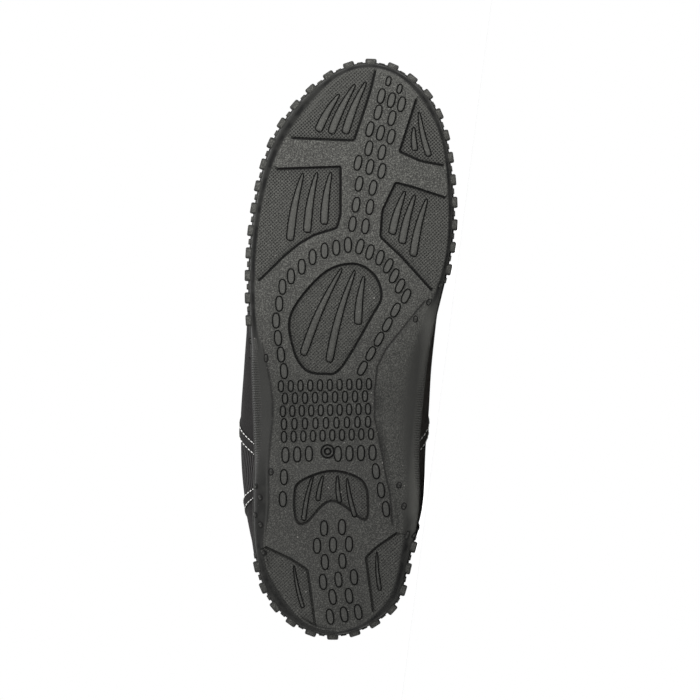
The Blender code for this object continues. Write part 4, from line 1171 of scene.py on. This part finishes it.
def fabric_material(name, colour):
    """Stretch fabric: fine knit, ribs along the gores, a ribbed binding, and painted light low on its inner
    side.
    """
    n = Nodes(name)
    place = n.attribute("upright", vector=True)
    along, up = n.attribute("along"), n.attribute("rise")
    gore, edge = n.attribute("gore"), n.attribute("edge")
    flat = n.add("ShaderNodeCombineXYZ", {}, {0: along, 1: up})
    fuzz = n.noise(place, 1900, 2.0, 0.6)
    cloud = n.noise(place, 30, 4.0, 0.6)
    knit = n.waves(flat, KNIT_PITCH[0], "X") * n.waves(flat, KNIT_PITCH[1], "Y")
    ribs = n.waves(flat, GORE_RIB_PITCH, "Y", 0.25)
    cord = n.waves(flat, BINDING_CORD_PITCH, "X")
    base = n.mix(n.steps(cloud, 0.35, 0.68), tint(colour, 0.7), tint(colour, 1.4))
    layers = [
        (fuzz * 0.3, 2.2),
        (knit * (1 - gore) * 0.35, 2.0),
        (gore * n.steps(ribs, 0.45, 0.75) * 0.7, 3.0),
        (gore * (1 - n.steps(ribs, 0.15, 0.45)) * 0.8, 0.2),
        (edge * cord * 0.45, 2.6),
    ]
    base = n.layered(base, colour, layers)
    # Painted light: low on the inner side, which faces the floor and lies in shade, the fabric is made
    # paler, as light thrown back by the floor would make it
    inner, low = n.steps(n.along(place, 1), 0.020, 0.032), n.steps(n.along(place, 2), 0.060, 0.035)
    base = n.mix(inner * low * (0.6 + 0.35 * cloud), base, PAINTED_BOUNCE_LIGHT)
    height = knit * (1 - gore) * 0.5 + ribs * gore * 2.2 + cord * edge * 0.8 + fuzz * 0.4
    normal = n.bump(height, 0.26 * MM, 0.9)
    rough = 0.8 + 0.16 * fuzz
    return n.finish(base, rough, normal, Sheen_Weight=0.07, Sheen_Roughness=0.4, Specular_IOR_Level=0.0)


def lining_material(name, colour):
    """Brushed knit lining."""
    n = Nodes(name)
    place = n.attribute("upright", vector=True)
    fuzz = n.noise(place, 1300, 4.0, 0.7)
    cloud = n.noise(place, 45, 3.0, 0.5)
    base = n.mix(n.steps(fuzz, 0.3, 0.75), tint(colour, 0.6), tint(colour, 1.7))
    base = n.mix(cloud * 0.3, base, tint(colour, 1.3))
    return n.finish(base, 0.88, n.bump(fuzz, 0.3 * MM, 0.8), Sheen_Weight=0.3, Sheen_Roughness=0.5)


def thread_material(name, colour):
    """Twisted thread."""
    n = Nodes(name)
    place = n.attribute("upright", vector=True)
    twist = n.waves(place, 0.5 * MM, "DIAGONAL")
    soil = n.noise(place, 400, 3.0, 0.6)
    base = n.mix(n.steps(soil, 0.45, 0.8) * 0.5, colour, tint(colour, 0.55))
    return n.finish(base, 0.6, n.bump(twist, 0.12 * MM, 0.7))


def floor_material(name, colour):
    """A plain pale studio floor, faintly uneven."""
    n = Nodes(name)
    place = n.add("ShaderNodeTexCoord", {}, {}, output=3)
    cloud = n.noise(place, 6, 3.0, 0.5)
    base = n.mix(cloud * 0.25, colour, tint(colour, 0.97))
    return n.finish(base, 0.85)


# Pieces that repeat, made with Geometry Nodes


class Tree:
    """A Geometry Nodes tree on one object: named inputs, a chain of nodes, and its plain result."""

    def __init__(self, name, inputs):
        self.group = bpy.data.node_groups.new(name, "GeometryNodeTree")
        face = self.group.interface
        face.new_socket("Geometry", in_out="INPUT", socket_type="NodeSocketGeometry")
        for key, kind in inputs.items():
            face.new_socket(key, in_out="INPUT", socket_type=kind)
        face.new_socket("Geometry", in_out="OUTPUT", socket_type="NodeSocketGeometry")
        self.source = self.group.nodes.new("NodeGroupInput")
        self.sink = self.group.nodes.new("NodeGroupOutput")

    def add(self, kind, settings=None, sockets=None):
        node = self.group.nodes.new(kind)
        for key, value in (settings or {}).items():
            setattr(node, key, value)
        for key, value in (sockets or {}).items():
            if isinstance(value, bpy.types.NodeSocket):
                self.group.links.new(value, node.inputs[key])
            else:
                node.inputs[key].default_value = value
        return node

    def given(self, name):
        return self.source.outputs[name]

    def named(self, name):
        """A vector that each point carries."""
        settings = {"data_type": "FLOAT_VECTOR"}
        return self.add("GeometryNodeInputNamedAttribute", settings, {"Name": name}).outputs[0]

    def placed(self, points, block, axis, facing, scale):
        """The block on each point, its axis along the facing vector."""
        turn = self.add("FunctionNodeAlignRotationToVector", {"axis": axis}, {"Vector": facing})
        sockets = {"Points": points, "Instance": block, "Rotation": turn.outputs[0], "Scale": scale}
        return self.add("GeometryNodeInstanceOnPoints", {}, sockets).outputs[0]

    def end(self, geometry, material):
        real = self.add("GeometryNodeRealizeInstances", {}, {"Geometry": geometry})
        sockets = {"Geometry": real.outputs[0], "Material": material}
        done = self.add("GeometryNodeSetMaterial", {}, sockets)
        self.group.links.new(done.outputs[0], self.sink.inputs[0])

    def result(self, carrier, name, values):
        """The carrier's evaluated mesh as a plain object. The carrier is removed."""
        modifier = carrier.modifiers.new(name, "NODES")
        modifier.node_group = self.group
        for item in self.group.interface.items_tree:
            if item.item_type == "SOCKET" and item.in_out == "INPUT" and item.name in values:
                modifier[item.identifier] = values[item.name]
        graph = bpy.context.evaluated_depsgraph_get()
        mesh = bpy.data.meshes.new_from_object(carrier.evaluated_get(graph), depsgraph=graph)
        bpy.data.objects.remove(carrier)
        return linked(name, mesh)


def point_carrier(name, points, vectors=None, edges=()):
    """An object of bare points, with a vector value each, for a tree to put things on."""
    mesh = bpy.data.meshes.new(name)
    mesh.from_pydata([tuple(p) for p in points], list(edges), [])
    for key, rows in (vectors or {}).items():
        made = mesh.attributes.new(key, "FLOAT_VECTOR", "POINT")
        made.data.foreach_set("vector", np.asarray(rows, np.float32).ravel())
    return linked(name, mesh)


def pads_between(start, stop):
    """Outline parameters of the side pads, evenly spaced by length, and which are long."""
    fine = np.linspace(start, stop, 800)
    points = rim_outline(fine)
    run = lengths_along(points)
    count = max(2, round(run[-1] / (PAD_PITCH / 2)))
    places = (np.arange(count) + 0.5) * run[-1] / count
    return np.interp(places, run, fine), np.arange(count) % 2 == 0


def ringed_block(name, rings, corners=16, squareness=3.2):
    """A rounded block about the X axis. A ring is (x, half length, half height, darkness of its painted
    shade).
    """
    angle = ring_angles(corners)
    y, z = squared_circle(angle, squareness)
    block = Mesh()
    points = [np.column_stack([np.full(corners, x), y * long, z * high]) for x, long, high, _ in rings]
    # Painted shade on the rings given as dark and on the block's rounded sides; the block is paler where it
    # has none
    rim = 0.75 * ramp(np.abs(np.cos(angle)), 0.45, 0.9)
    shade = np.maximum(np.repeat([ring[3] for ring in rings], corners), np.tile(rim, len(rings)))
    block.add(np.concatenate(points), grid_faces(len(rings), corners), dark=shade, raised=0.4 - 0.4 * shade)
    block.add(points[-1], [tuple(range(corners))], dark=shade[-corners:])
    return block.object(name, smooth=50)


def pad_block(name, length, height, proud, root):
    """A side pad: its face looks along +X, its length lies along Y."""
    half, high = length / 2, height / 2
    # Painted shade at the pad's root, where it meets the side, and round its outer end
    rings = [(-root, half, high, 1.0), (-0.7 * root, half, high, 1.0), (-0.3 * root, half, high, 0)]
    rings += [(0.45 * proud, half, high, 0), (0.8 * proud, half * 0.95, high * 0.95, 0.2)]
    rings += [(proud, half * 0.8, high * 0.8, 0.6)]
    return ringed_block(name, rings)


class SHOE_OT_outsole(bpy.types.Operator):
    """Moulds the cup outsole: tread, turned sides, banded rim and inside; the rim's ribs come with the side
    ovals.
    """

    bl_idname = "shoe.outsole"
    bl_label = "Outsole"

    def execute(self, context):
        groove = context.scene.shoe_sizes.groove
        plan, faces, loop = tread_mesh()
        level, panel, raised, dark = tread_values(plan, groove)
        height = tread_height(plan[:, 0]) - level
        cup = Mesh()
        cup.add(np.column_stack([plan, height]), faces, panel=panel, raised=raised, dark=dark)
        turned = parameters_of(plan[loop])
        order = np.argsort(turned)
        loop, turned = np.array(loop)[order], turned[order]
        blocks = {"points": [], "panel": [], "smooth": [], "dark": [], "raised": []}
        for i, (row, smooth, shade, pale) in enumerate(side_rows(turned)):
            fade = max(0.0, 1 - i / FOLLOWS_TREAD)
            keep, shown = ramp(FOLLOWS_TREAD - i, 0, 3), ramp(2 - i, 0, 2)
            if i == 0:
                row[:, :2] = plan[loop]
            row[:, 2] -= level[loop] * fade
            blocks["points"].append(row)
            blocks["panel"].append(panel[loop] * keep)
            blocks["dark"].append(np.maximum(dark[loop] * shown, shade))
            blocks["smooth"].append(np.broadcast_to(smooth, len(loop)))
            blocks["raised"].append(np.maximum(raised[loop] * fade, pale))
        last = blocks["points"][-1]
        faces = grid_faces(len(blocks["points"]), len(loop))
        blocks = {key: np.concatenate(rows) for key, rows in blocks.items()}
        cup.add(blocks.pop("points"), faces, **blocks)
        cup.add(last, [tuple(range(len(loop)))], smooth=1)
        piece = cup.object("moulded_outsole", smooth=38)
        colour = context.scene.shoe_colours.rubber
        rubber = rubber_material("moulded_rubber_looks", tuple(colour))
        to_row(piece, [rubber], ["outsole"])
        return {"FINISHED"}


def placed_copies(name, block, points, outwards, material, scales=None):
    """One mesh with a copy of a block at each point, the block's X axis along the vectors."""
    vectors = {"outwards": outwards}
    if scales is not None:
        vectors["stretch"] = scales
    carrier = point_carrier(name, points, vectors)
    tree = Tree(name, {"Block": "NodeSocketObject", "Size": "NodeSocketFloat"})
    info = tree.add("GeometryNodeObjectInfo", {}, {"Object": tree.given("Block")})
    scale = tree.given("Size") if scales is None else tree.named("stretch")
    points = tree.given("Geometry")
    placed = tree.placed(points, info.outputs["Geometry"], "X", tree.named("outwards"), scale)
    tree.end(placed, material)
    made = tree.result(carrier, name, {"Block": block, "Size": 1.0})
    bpy.data.objects.remove(block)
    made.data.set_sharp_from_angle(angle=math.radians(50))
    return made


class SHOE_OT_pads(bpy.types.Operator):
    """Sets the two staggered rows of pads round forefoot and heel."""

    bl_idname = "shoe.pads"
    bl_label = "Side pads"

    def execute(self, context):
        forefoot = (turned_at(PADDED_FOREFOOT[0], LATERAL), turned_at(PADDED_FOREFOOT[1], MEDIAL))
        heel = (turned_at(PADDED_HEEL[1], MEDIAL), turned_at(PADDED_HEEL[0], LATERAL) + 2 * math.pi)
        found = [pads_between(*reach) for reach in (forefoot, heel)]
        turned = np.concatenate([row[0] for row in found])
        is_long = np.concatenate([row[1] for row in found])
        rubber = bpy.data.materials["moulded_rubber_looks"]
        for name, keep, size, low, proud in (
            ("long_pads", is_long, (LONG_PAD, PAD_HEIGHT), 0.6, PAD_PROUD),
            ("short_pads", ~is_long, (SHORT_PAD, 0.8 * PAD_HEIGHT), 0.95, 0.42 * PAD_PROUD),
        ):
            at = turned[keep]
            place = rim_outline(at)
            height = tread_height(place[:, 0]) + by_side(TURN, at) * low + size[1] / 2
            out = np.column_stack([rim_normal(at), np.zeros(len(at))])
            block = pad_block(name + "_block", *size, proud, PAD_ROOT)
            shrink = np.interp(np.abs(np.sin(at)), (0.3, 0.6), (0.5, 1))
            shrink = shrink * np.where(np.sin(at) > 0, 1, 0.6)
            low_pads = np.column_stack([shrink, np.ones((len(at), 2))]) if name == "short_pads" else None
            piece = placed_copies(name, block, np.column_stack([place, height]), out, rubber, low_pads)
            to_row(piece, [rubber])
        return {"FINISHED"}


# Small ovals on the turned sides: share of LENGTH, share of BALL_WIDTH, half length and half width
SIDE_LUGS = [(0.610, 0.445, 1.5, 1.2), (0.581, 0.394, 1.6, 1.2), (0.5515, 0.330, 1.5, 1.1)]
SIDE_LUGS += [(0.266, 0.253, 1.5, 1.2), (0.230, 0.276, 1.6, 1.2), (0.180, 0.290, 2.2, 1.1)]
SIDE_LUGS += [(0.180, 0.323, 2.2, 1.1), (0.514, -0.440, 1.4, 1.1), (0.4845, -0.370, 1.9, 1.0)]
SIDE_LUGS += [(0.289, -0.347, 1.6, 1.2), (0.264, -0.418, 1.4, 1.3), (0.245, -0.398, 1.4, 1.2)]
SIDE_LUGS += [(0.215, -0.420, 1.5, 1.3), (0.198, -0.395, 1.5, 1.2), (0.151, -0.384, 1.6, 1.2)]

# Ribbed stretches of the rim: side, share of LENGTH where they start and stop, share of the turn
# from which they show
RIBBED = [(LATERAL, 0.285, 0.520, 0.36), (MEDIAL, 0.222, 0.480, 0.62)]
RIB_PITCH = 1.18 * MM
RIB_RISE = 0.34 * MM
POINTS_PER_RIB = 6
RIB_FADE = 14 * MM  # over which the ribs rise at the ends of a stretch
RIB_SUNK = 0.12 * MM  # how far the strips lie under the rubber's surface where no rib stands
OVAL_SPREAD = 1.15  # of a block's half sizes, whose rounded top is smaller than its root


def hull_of(piece):
    """A search tree over the upright shape of a piece that lies in the row."""
    mesh = piece.data
    places = np.zeros(len(mesh.vertices) * 3, np.float32)
    mesh.attributes["upright"].data.foreach_get("vector", places)
    places = [Vector(p) for p in places.reshape(-1, 3).tolist()]
    return BVHTree.FromPolygons(places, [tuple(face.vertices) for face in mesh.polygons])


class SHOE_OT_sides(bpy.types.Operator):
    """Adds the small ovals on the turned sides and the fine ribs along the rim of the waist."""

    bl_idname = "shoe.sides"
    bl_label = "Side ovals and rim ribs"

    def execute(self, context):
        rubber = bpy.data.materials["moulded_rubber_looks"]
        skin = hull_of(bpy.data.objects["moulded_outsole"])
        points, out, scales = [], [], []
        for share, across, long, wide in SIDE_LUGS:
            here = Vector((share * LENGTH, across * BALL_WIDTH, -0.02))
            hit, normal, _, _ = skin.ray_cast(here, Vector((0, 0, 1)))
            points.append(hit)
            out.append(normal)
            scales.append((1, wide * OVAL_SPREAD, long * OVAL_SPREAD))
        # Painted shade round each oval's foot, fading towards its top
        rings = [(-1.2 * MM, MM, MM, 1.0), (0.06 * MM, MM, MM, 1.0)]
        rings += [(0.08 * MM, 0.72 * MM, 0.74 * MM, 1.0), (0.5 * MM, 0.62 * MM, 0.66 * MM, 0.3)]
        rings += [(0.65 * MM, 0.4 * MM, 0.45 * MM, 0)]
        block = ringed_block("oval_block", rings, squareness=2.3)
        piece = placed_copies("side_ovals", block, points, out, rubber, scales)
        to_row(piece, [rubber])
        self.ribs(rubber)
        return {"FINISHED"}

    def ribs(self, rubber):
        strips = Mesh()
        for side, start, stop, low in RIBBED:
            shares = np.linspace(start, stop, 400)
            rim = rim_outline(turned_at(shares, side))
            run = lengths_along(rim)
            count = round(run[-1] / RIB_PITCH) * POINTS_PER_RIB
            places = np.linspace(0, run[-1], count + 1)
            turned = turned_at(np.interp(places, run, shares), side)
            wave = (1 + np.cos(2 * math.pi * np.arange(count + 1) / POINTS_PER_RIB)) / 2
            ends = ramp(places, 0, RIB_FADE) * ramp(run[-1] - places, 0, RIB_FADE)
            rows, lift_off = [], []
            for t in np.linspace(0, 1, 9):
                rows.append(turn_points(turned, low + (1 - low) * t))
                lift_off.append(np.sin(min(t / 0.5, 1) * math.pi / 2) * np.ones(count + 1))
            top = rim_top(turned)
            for down in (6.5, 5.2, 4.45):
                height = np.minimum(top - down * MM, top - 4.3 * MM)
                height = np.maximum(height, rows[8][:, 2] + 0.1 * MM)
                rows.append(np.column_stack([rim_outline(turned, np.full(count + 1, -RIM_STEP)), height]))
                lift_off.append(np.ones(count + 1) * (1.0 if down > 4.5 else 0.6))
            grid, fade = np.array(rows), np.array(lift_off) * ends
            normal = grid_normals(grid.transpose(1, 0, 2), side, 1).transpose(1, 0, 2)
            rise = -RIB_SUNK + (0.14 * MM + RIB_RISE * wave) * fade
            grid = grid + normal * rise[..., None]
            # These grids run the other way round than the upper's
            faces = faced(grid_faces(len(rows), count + 1, closed=False), -side)
            shade = ((1 - wave) * fade * 0.6).ravel()
            strips.add(grid.reshape(-1, 3), faces, raised=(wave * fade).ravel(), smooth=0.5, dark=shade)
        piece = strips.object("rim_ribs", smooth=70, turn_out=False)
        to_row(piece, [rubber])


def eased(start, stop, count):
    """Shares of LENGTH from start to stop, evenly spaced in outline parameters."""
    first, last = math.acos(1 - 2 * start), math.acos(1 - 2 * stop)
    return [float(share_of(first + (last - first) * i / count)) for i in range(count + 1)]


def upper_columns(side):
    """(foot share, top share, zone) of each column: zones are 0 shell, 1 hem, 2 gore."""
    marks = [(0.0, 0.0), *SEAMS[side], (COLLAR_FRONT, COLLAR_FRONT)]
    zones, counts = (0, 1, 2, 1, 0), (30, 3, 24, 3, 16)
    tiny = 0.0004  # keeps the columns on the two sides of a step apart
    columns = []
    for (start, stop), zone, count in zip(zip(marks, marks[1:]), zones, counts):
        for foot in eased(start[0] + (tiny if start[0] else 0), stop[0] - tiny, count):
            through = (foot - start[0]) / (stop[0] - start[0])
            columns.append((foot, start[1] + (stop[1] - start[1]) * through, zone))
    marks = (COLLAR_FRONT, BINDING_FRONT - tiny, BINDING_FRONT + tiny, 1.0)
    for start, stop, count in zip(marks, marks[1:], (5, 1, 56)):
        columns += [(share, share, 0) for share in eased(start, stop, count)]
    return columns


def upper_levels(foot, top):
    """Row values of one column, with a close pair at the binding's lower edge."""
    edge = float(binding_row(np.array(top if foot < COLLAR_FRONT else foot)))
    low = list(np.linspace(0, 1, 4)) + list(1 + (1 - np.cos(np.linspace(0, math.pi, 14)[1:])) / 2)
    shell = list(np.linspace(2, edge - 0.006, 30)[1:])
    bound = list(np.linspace(edge + 0.006, 3, 9))
    return low + shell + bound, [False] * (len(low) + len(shell)) + [True] * len(bound)


def side_grid(side, sizes):
    """Outer points of one side as an array [column, row], with its named values."""
    columns = upper_columns(side)
    shares, levels, offset, gore, edge = [], [], [], [], []
    for foot, top, zone in columns:
        rows, bound = upper_levels(foot, top)
        level = np.array(rows)
        shares.append(seam_share(foot, top, level))
        levels.append(level)
        out = {0: 0.0, 1: sizes.hem, 2: -0.0004}[zone] * ramp(level, 1.0, 1.12)
        is_bound = np.array(bound) & (foot < BINDING_FRONT)
        offset.append(np.where(is_bound, sizes.binding, out))
        gore.append(np.full(len(level), float(zone == 2)) * ~is_bound)
        edge.append(is_bound.astype(float))
    levels = np.array(levels)
    points = upper_points(turned_at(np.array(shares), side), levels)
    return points, np.array(offset), {"gore": np.array(gore), "edge": np.array(edge)}, levels


def grid_normals(points, side, reach=3):
    """Unit normals of a grid, outwards, by its neighbours' differences."""
    def slopes(axis):
        made = np.zeros_like(points)
        size = points.shape[axis]
        for i in range(size):
            a, b = max(i - reach, 0), min(i + reach, size - 1)
            here = [slice(None)] * 3
            here[axis] = i
            made[tuple(here)] = np.take(points, b, axis) - np.take(points, a, axis)
        return made

    normal = np.cross(slopes(0), slopes(1)) * (1 if side == LATERAL else -1)
    length = np.linalg.norm(normal, axis=-1, keepdims=True)
    return normal / np.maximum(length, 1e-15)


CREASE_POINTS = 12
CREASE_FADE = ((0, 2, 9, 11), (0.3, 1, 1, 0.3))  # depth at a crease's points as a share


def crease_shift(points, levels, side):
    """How far the creases push each point of a side inwards."""
    keep = ramp(levels, 1.05, 1.3) * ramp(3 - levels, 0, 0.05)
    flat = points.reshape(-1, 3)
    total = np.zeros(len(flat))
    for crease in CREASES:
        if crease.side != side:
            continue
        share, height = np.linspace(crease.start, crease.end, CREASE_POINTS).T
        line = upper_points(turned_at(share, side), 1 + 2 * height)
        gap = np.linalg.norm(flat[:, None, :] - line[None], axis=-1)
        nearest = gap.min(axis=1)
        fade = np.interp(gap.argmin(axis=1), *CREASE_FADE)
        total += crease.depth * fade * np.exp(-((nearest / crease.width) ** 2))
    return total.reshape(points.shape[:-1]) * keep


class SHOE_OT_upper(bpy.types.Operator):
    """Shapes the stretch upper with its gores, hems, binding, creases and lining."""

    bl_idname = "shoe.upper"
    bl_label = "Upper"

    def execute(self, context):
        sizes = context.scene.shoe_sizes
        shell = Mesh()
        for side in SIDES:
            points, offset, values, levels = side_grid(side, sizes)
            normals = grid_normals(points, side)
            shift = crease_shift(points, levels, side)
            columns, rows = levels.shape
            ridge = np.array([foot >= COLLAR_FRONT for foot, _, _ in upper_columns(side)])
            flat = normals[ridge, -1]
            flat[:, 1] = 0
            normals[ridge, -1] = flat / np.linalg.norm(flat, axis=1, keepdims=True)
            for end in (0, -1):
                normals[end, :, 1] = 0
                normals[end] /= np.linalg.norm(normals[end], axis=1, keepdims=True)
            step = np.where(ridge[:, None] & (levels > 2.93), 0, offset)
            outer = points + normals * (step - shift)[..., None]
            inner = points - normals * (UPPER_WALL + shift)[..., None]
            values = {**values, "along": lengths_along(points, 0), "rise": lengths_along(points, 1)}
            flatten = {key: value.ravel() for key, value in values.items()}
            faces = faced(grid_faces(columns, rows, closed=False), side)
            shell.add(outer.reshape(-1, 3), faces, **flatten)
            shell.add(inner.reshape(-1, 3), [face[::-1] for face in faces], slot=1)
            size = columns * rows
            start = 2 * size if side == MEDIAL else 0
            strips = []
            for i in range(columns - 1):
                a, b = i * rows, (i + 1) * rows
                strips.append((a, b, size + b, size + a))
                if not (ridge[i] and ridge[i + 1]):
                    strips.append((b + rows - 1, a + rows - 1, size + a + rows - 1, size + b + rows - 1))
            shell.faces += [tuple(start + i for i in strip) for strip in faced(strips, side)]
            shell.slots += [0] * len(strips)
        piece = shell.object("stretch_upper", merge=0.02 * MM, smooth=60)
        colours = context.scene.shoe_colours
        fabric = fabric_material("stretch_fabric_looks", tuple(colours.fabric))
        lining = lining_material("lining_looks", tuple(colours.lining))
        to_row(piece, [fabric, lining], ["upper"])
        return {"FINISHED"}


STITCH_INSET = 0.0018  # from a hem's edge to its stitches, as a share of LENGTH
STITCHED_ROWS = (1.07, 2.86)  # rows of the upper between which the hems are stitched


def add_chain(points, edges, line):
    """Adds a line's points, each joined to the next."""
    start = len(points)
    points += list(line)
    edges += [(i, i + 1) for i in range(start, len(points) - 1)]


def seam_path(side, seam, beside):
    """Points just over a seam line, moved forward by a share of LENGTH."""
    foot, top = seam
    level = np.linspace(*STITCHED_ROWS, 60)
    share = seam_share(foot, top, level) + beside
    turned = turned_at(share, side)
    here = upper_points(turned, level)
    ahead = upper_points(turned_at(share + 0.002, side), level)
    above = upper_points(turned, level + 0.004)
    normal = np.cross(ahead - here, above - here) * (1 if side == LATERAL else -1)
    normal /= np.linalg.norm(normal, axis=1, keepdims=True)
    return here - normal * crease_shift(here, level, side)[:, None], normal


class SHOE_OT_stitches(bpy.types.Operator):
    """Sews the double rows of pale stitches down each hem, and a row round the binding."""

    bl_idname = "shoe.stitches"
    bl_label = "Stitches"

    def execute(self, context):
        sizes = context.scene.shoe_sizes
        thread = thread_material("thread_looks", tuple(context.scene.shoe_colours.thread))
        points, edges = [], []
        for side, seams in SEAMS.items():
            for back, front in (seams[:2], seams[2:]):
                for seam, beside in ((back, STITCH_INSET), (front, -STITCH_INSET)):
                    path, normal = seam_path(side, seam, beside)
                    add_chain(points, edges, path + normal * (sizes.hem + sizes.thread * 0.15))
        self.sew("hem_stitches", points, edges, sizes, thread)
        points, edges = [], []
        for side in SEAMS:
            grid, _, values, levels = side_grid(side, sizes)
            normals = grid_normals(grid, side)
            grid = grid - normals * crease_shift(grid, levels, side)[..., None]
            row = int(np.argmax(values["edge"][0] > 0)) + 1
            bound = [foot < COLLAR_FRONT for foot, _, _ in upper_columns(side)]
            proud = sizes.binding + sizes.thread * 0.1
            add_chain(points, edges, grid[bound, row] + normals[bound, row] * proud)
        dark = thread_material("dark_thread_looks", (0.012, 0.012, 0.013))
        self.sew("binding_stitches", points, edges, sizes, dark)
        return {"FINISHED"}

    def sew(self, name, points, edges, sizes, thread):
        carrier = point_carrier(name, points, edges=edges)
        tree = Tree(name, {key: "NodeSocketFloat" for key in ("Pitch", "Length", "Thickness")})
        line = tree.add("GeometryNodeMeshToCurve", {}, {"Mesh": tree.given("Geometry")})
        sockets = {"Curve": line.outputs[0], "Length": tree.given("Pitch")}
        spaced = tree.add("GeometryNodeResampleCurve", {"mode": "LENGTH"}, sockets)
        bead = tree.add("GeometryNodeMeshUVSphere", {}, {"Segments": 10, "Rings": 7, "Radius": 0.5})
        thick = tree.given("Thickness")
        shape = tree.add("ShaderNodeCombineXYZ", {}, {0: thick, 1: thick, 2: tree.given("Length")})
        tangent = tree.add("GeometryNodeInputTangent").outputs[0]
        placed = tree.placed(spaced.outputs[0], bead.outputs[0], "Z", tangent, shape.outputs[0])
        smooth = tree.add("GeometryNodeSetShadeSmooth", {}, {"Geometry": placed})
        tree.end(smooth.outputs[0], thread)
        values = {"Pitch": sizes.stitch_pitch, "Length": sizes.stitch, "Thickness": sizes.thread}
        piece = tree.result(carrier, name, values)
        to_row(piece, [thread])


def cove_height(turned, place):
    """Height of the cup's inside over points near the outline parameters."""
    steps = np.linspace(0, 1, 9)
    cove = np.stack([turn_points(turned, step, inner=True) for step in steps])
    out = cove[-1, :, :2] - cove[0, :, :2]
    out /= np.maximum(np.linalg.norm(out, axis=1, keepdims=True), 1e-9)
    reach = np.einsum("kij,ij->ki", cove[..., :2] - cove[0, :, :2], out)
    want = np.einsum("ij,ij->i", place - cove[0, :, :2], out)
    return np.array([np.interp(w, reach[:, i], cove[:, i, 2]) for i, w in enumerate(want)])


class SHOE_OT_footbed(bpy.types.Operator):
    """Lays the thin foam footbed with its cloth cover."""

    bl_idname = "shoe.footbed"
    bl_label = "Footbed"

    def execute(self, context):
        turned = ring_angles(200)
        inset = RIM_STEP + SIDE_WALL + UPPER_WALL + 3 * GAP
        rings = []
        for inwards in (16 * MM, 9 * MM, 6 * MM, 3 * MM, 1 * MM, 0):
            place = rim_outline(turned, np.full(len(turned), -inset - inwards))
            rings.append(np.column_stack([place, cove_height(turned, place) + GAP]))
        top = [ring + (0, 0, FOOTBED) for ring in rings]
        edge = rim_outline(turned, np.full(len(turned), -inset - 0.5 * MM))
        top[-1] = np.column_stack([edge, top[-1][:, 2] - 0.1 * MM])
        shoulder = rings[-1] + (0, 0, FOOTBED - 0.7 * MM)
        rows = rings + [shoulder] + top[::-1]
        bed = Mesh()
        bed.add(np.concatenate(rows), grid_faces(len(rows), len(turned)))
        size, half = len(turned), len(turned) // 2
        caps = [(i, i + 1, size - 1 - i, (size - i) % size) for i in range(1, half - 1)]
        caps += [(0, 1, size - 1), (half - 1, half, half + 1)]
        for row in (rows[0], rows[-1]):
            bed.add(row, caps)
        piece = bed.object("footbed", smooth=40)
        cover = lining_material("footbed_cover", tuple(context.scene.shoe_colours.lining))
        to_row(piece, [cover], ["insole"])
        return {"FINISHED"}


class SHOE_OT_stage(bpy.types.Operator):
    """Sets the pale floor, the white world, the soft lights and the camera."""

    bl_idname = "shoe.stage"
    bl_label = "Stage"

    def execute(self, context):
        scene = context.scene
        floor = Mesh()
        reach = 3.0
        corners = [(-reach, -reach, 0), (reach, -reach, 0), (reach, reach, 0), (-reach, reach, 0)]
        floor.add(corners, [(0, 1, 2, 3)])
        ground = floor.object("floor", turn_out=False)
        ground.data.materials.append(floor_material("floor_looks", (0.9, 0.9, 0.9)))
        world = bpy.data.worlds.new("studio")
        scene.world = world
        world.use_nodes = True
        world.node_tree.nodes["Background"].inputs["Color"].default_value = (1, 1, 1, 1)
        world.node_tree.nodes["Background"].inputs["Strength"].default_value = 1.0
        for name, place, size, power in (
            ("key", (0.6, -1.2, 1.2), 0.9, 20),
            ("fill", (1.3, -1.3, 0.4), 0.7, 9),
            ("back", (0.2, 1.1, 1.5), 1.0, 18),
        ):
            light = bpy.data.lights.new(name, "AREA")
            light.size, light.energy = size, power
            lamp = linked(name, light)
            lamp.location = place
            towards = Vector((0, 0, 0.05)) - Vector(place)
            lamp.rotation_euler = towards.to_track_quat("-Z", "Y").to_euler()
        self.camera(scene)
        scene.view_settings.view_transform = "Standard"
        return {"FINISHED"}

    def camera(self, scene):
        """A long lens square to the tread, the toe at the picture's top."""
        distance, view_width = 7.0, 0.3428
        middle = Vector((0.1420, 0.00245, 0.0012))
        turn = TO_ROW.to_3x3()
        right, up, back = turn @ Vector((0, 1, 0)), turn @ Vector((1, 0, 0)), turn @ Vector((0, 0, -1))
        data = bpy.data.cameras.new("camera")
        data.sensor_width = 36
        data.lens = 36 * distance / view_width
        data.clip_end = 40
        camera = linked("camera", data)
        place = TO_ROW @ middle + back * distance
        camera.matrix_world = Matrix.Translation(place) @ Matrix((right, up, back)).transposed().to_4x4()
        scene.camera = camera


OPERATORS = (
    SHOE_OT_outsole,
    SHOE_OT_pads,
    SHOE_OT_sides,
    SHOE_OT_upper,
    SHOE_OT_stitches,
    SHOE_OT_footbed,
    SHOE_OT_stage,
)


class SHOE_PT_panel(bpy.types.Panel):
    """Lists the shoe's pieces, sizes and colours."""

    bl_label = "Water shoe"
    bl_idname = "SHOE_PT_panel"
    bl_space_type = "VIEW_3D"
    bl_region_type = "UI"
    bl_category = "Water shoe"

    def draw(self, context):
        for group in (context.scene.shoe_sizes, context.scene.shoe_colours):
            box = self.layout.box()
            for name in group.__annotations__:
                box.prop(group, name)
        for operator in OPERATORS:
            self.layout.operator(operator.bl_idname)


CLASSES = (ShoeSizes, ShoeColours, *OPERATORS, SHOE_PT_panel)


def register():
    for made in CLASSES:
        bpy.utils.register_class(made)
    bpy.types.Scene.shoe_sizes = bpy.props.PointerProperty(type=ShoeSizes)
    bpy.types.Scene.shoe_colours = bpy.props.PointerProperty(type=ShoeColours)


def unregister():
    del bpy.types.Scene.shoe_colours
    del bpy.types.Scene.shoe_sizes
    for made in reversed(CLASSES):
        bpy.utils.unregister_class(made)


def main():
    register()
    for operator in OPERATORS:
        group, name = operator.bl_idname.split(".")
        getattr(getattr(bpy.ops, group), name)()


if __name__ == "__main__":
    main()
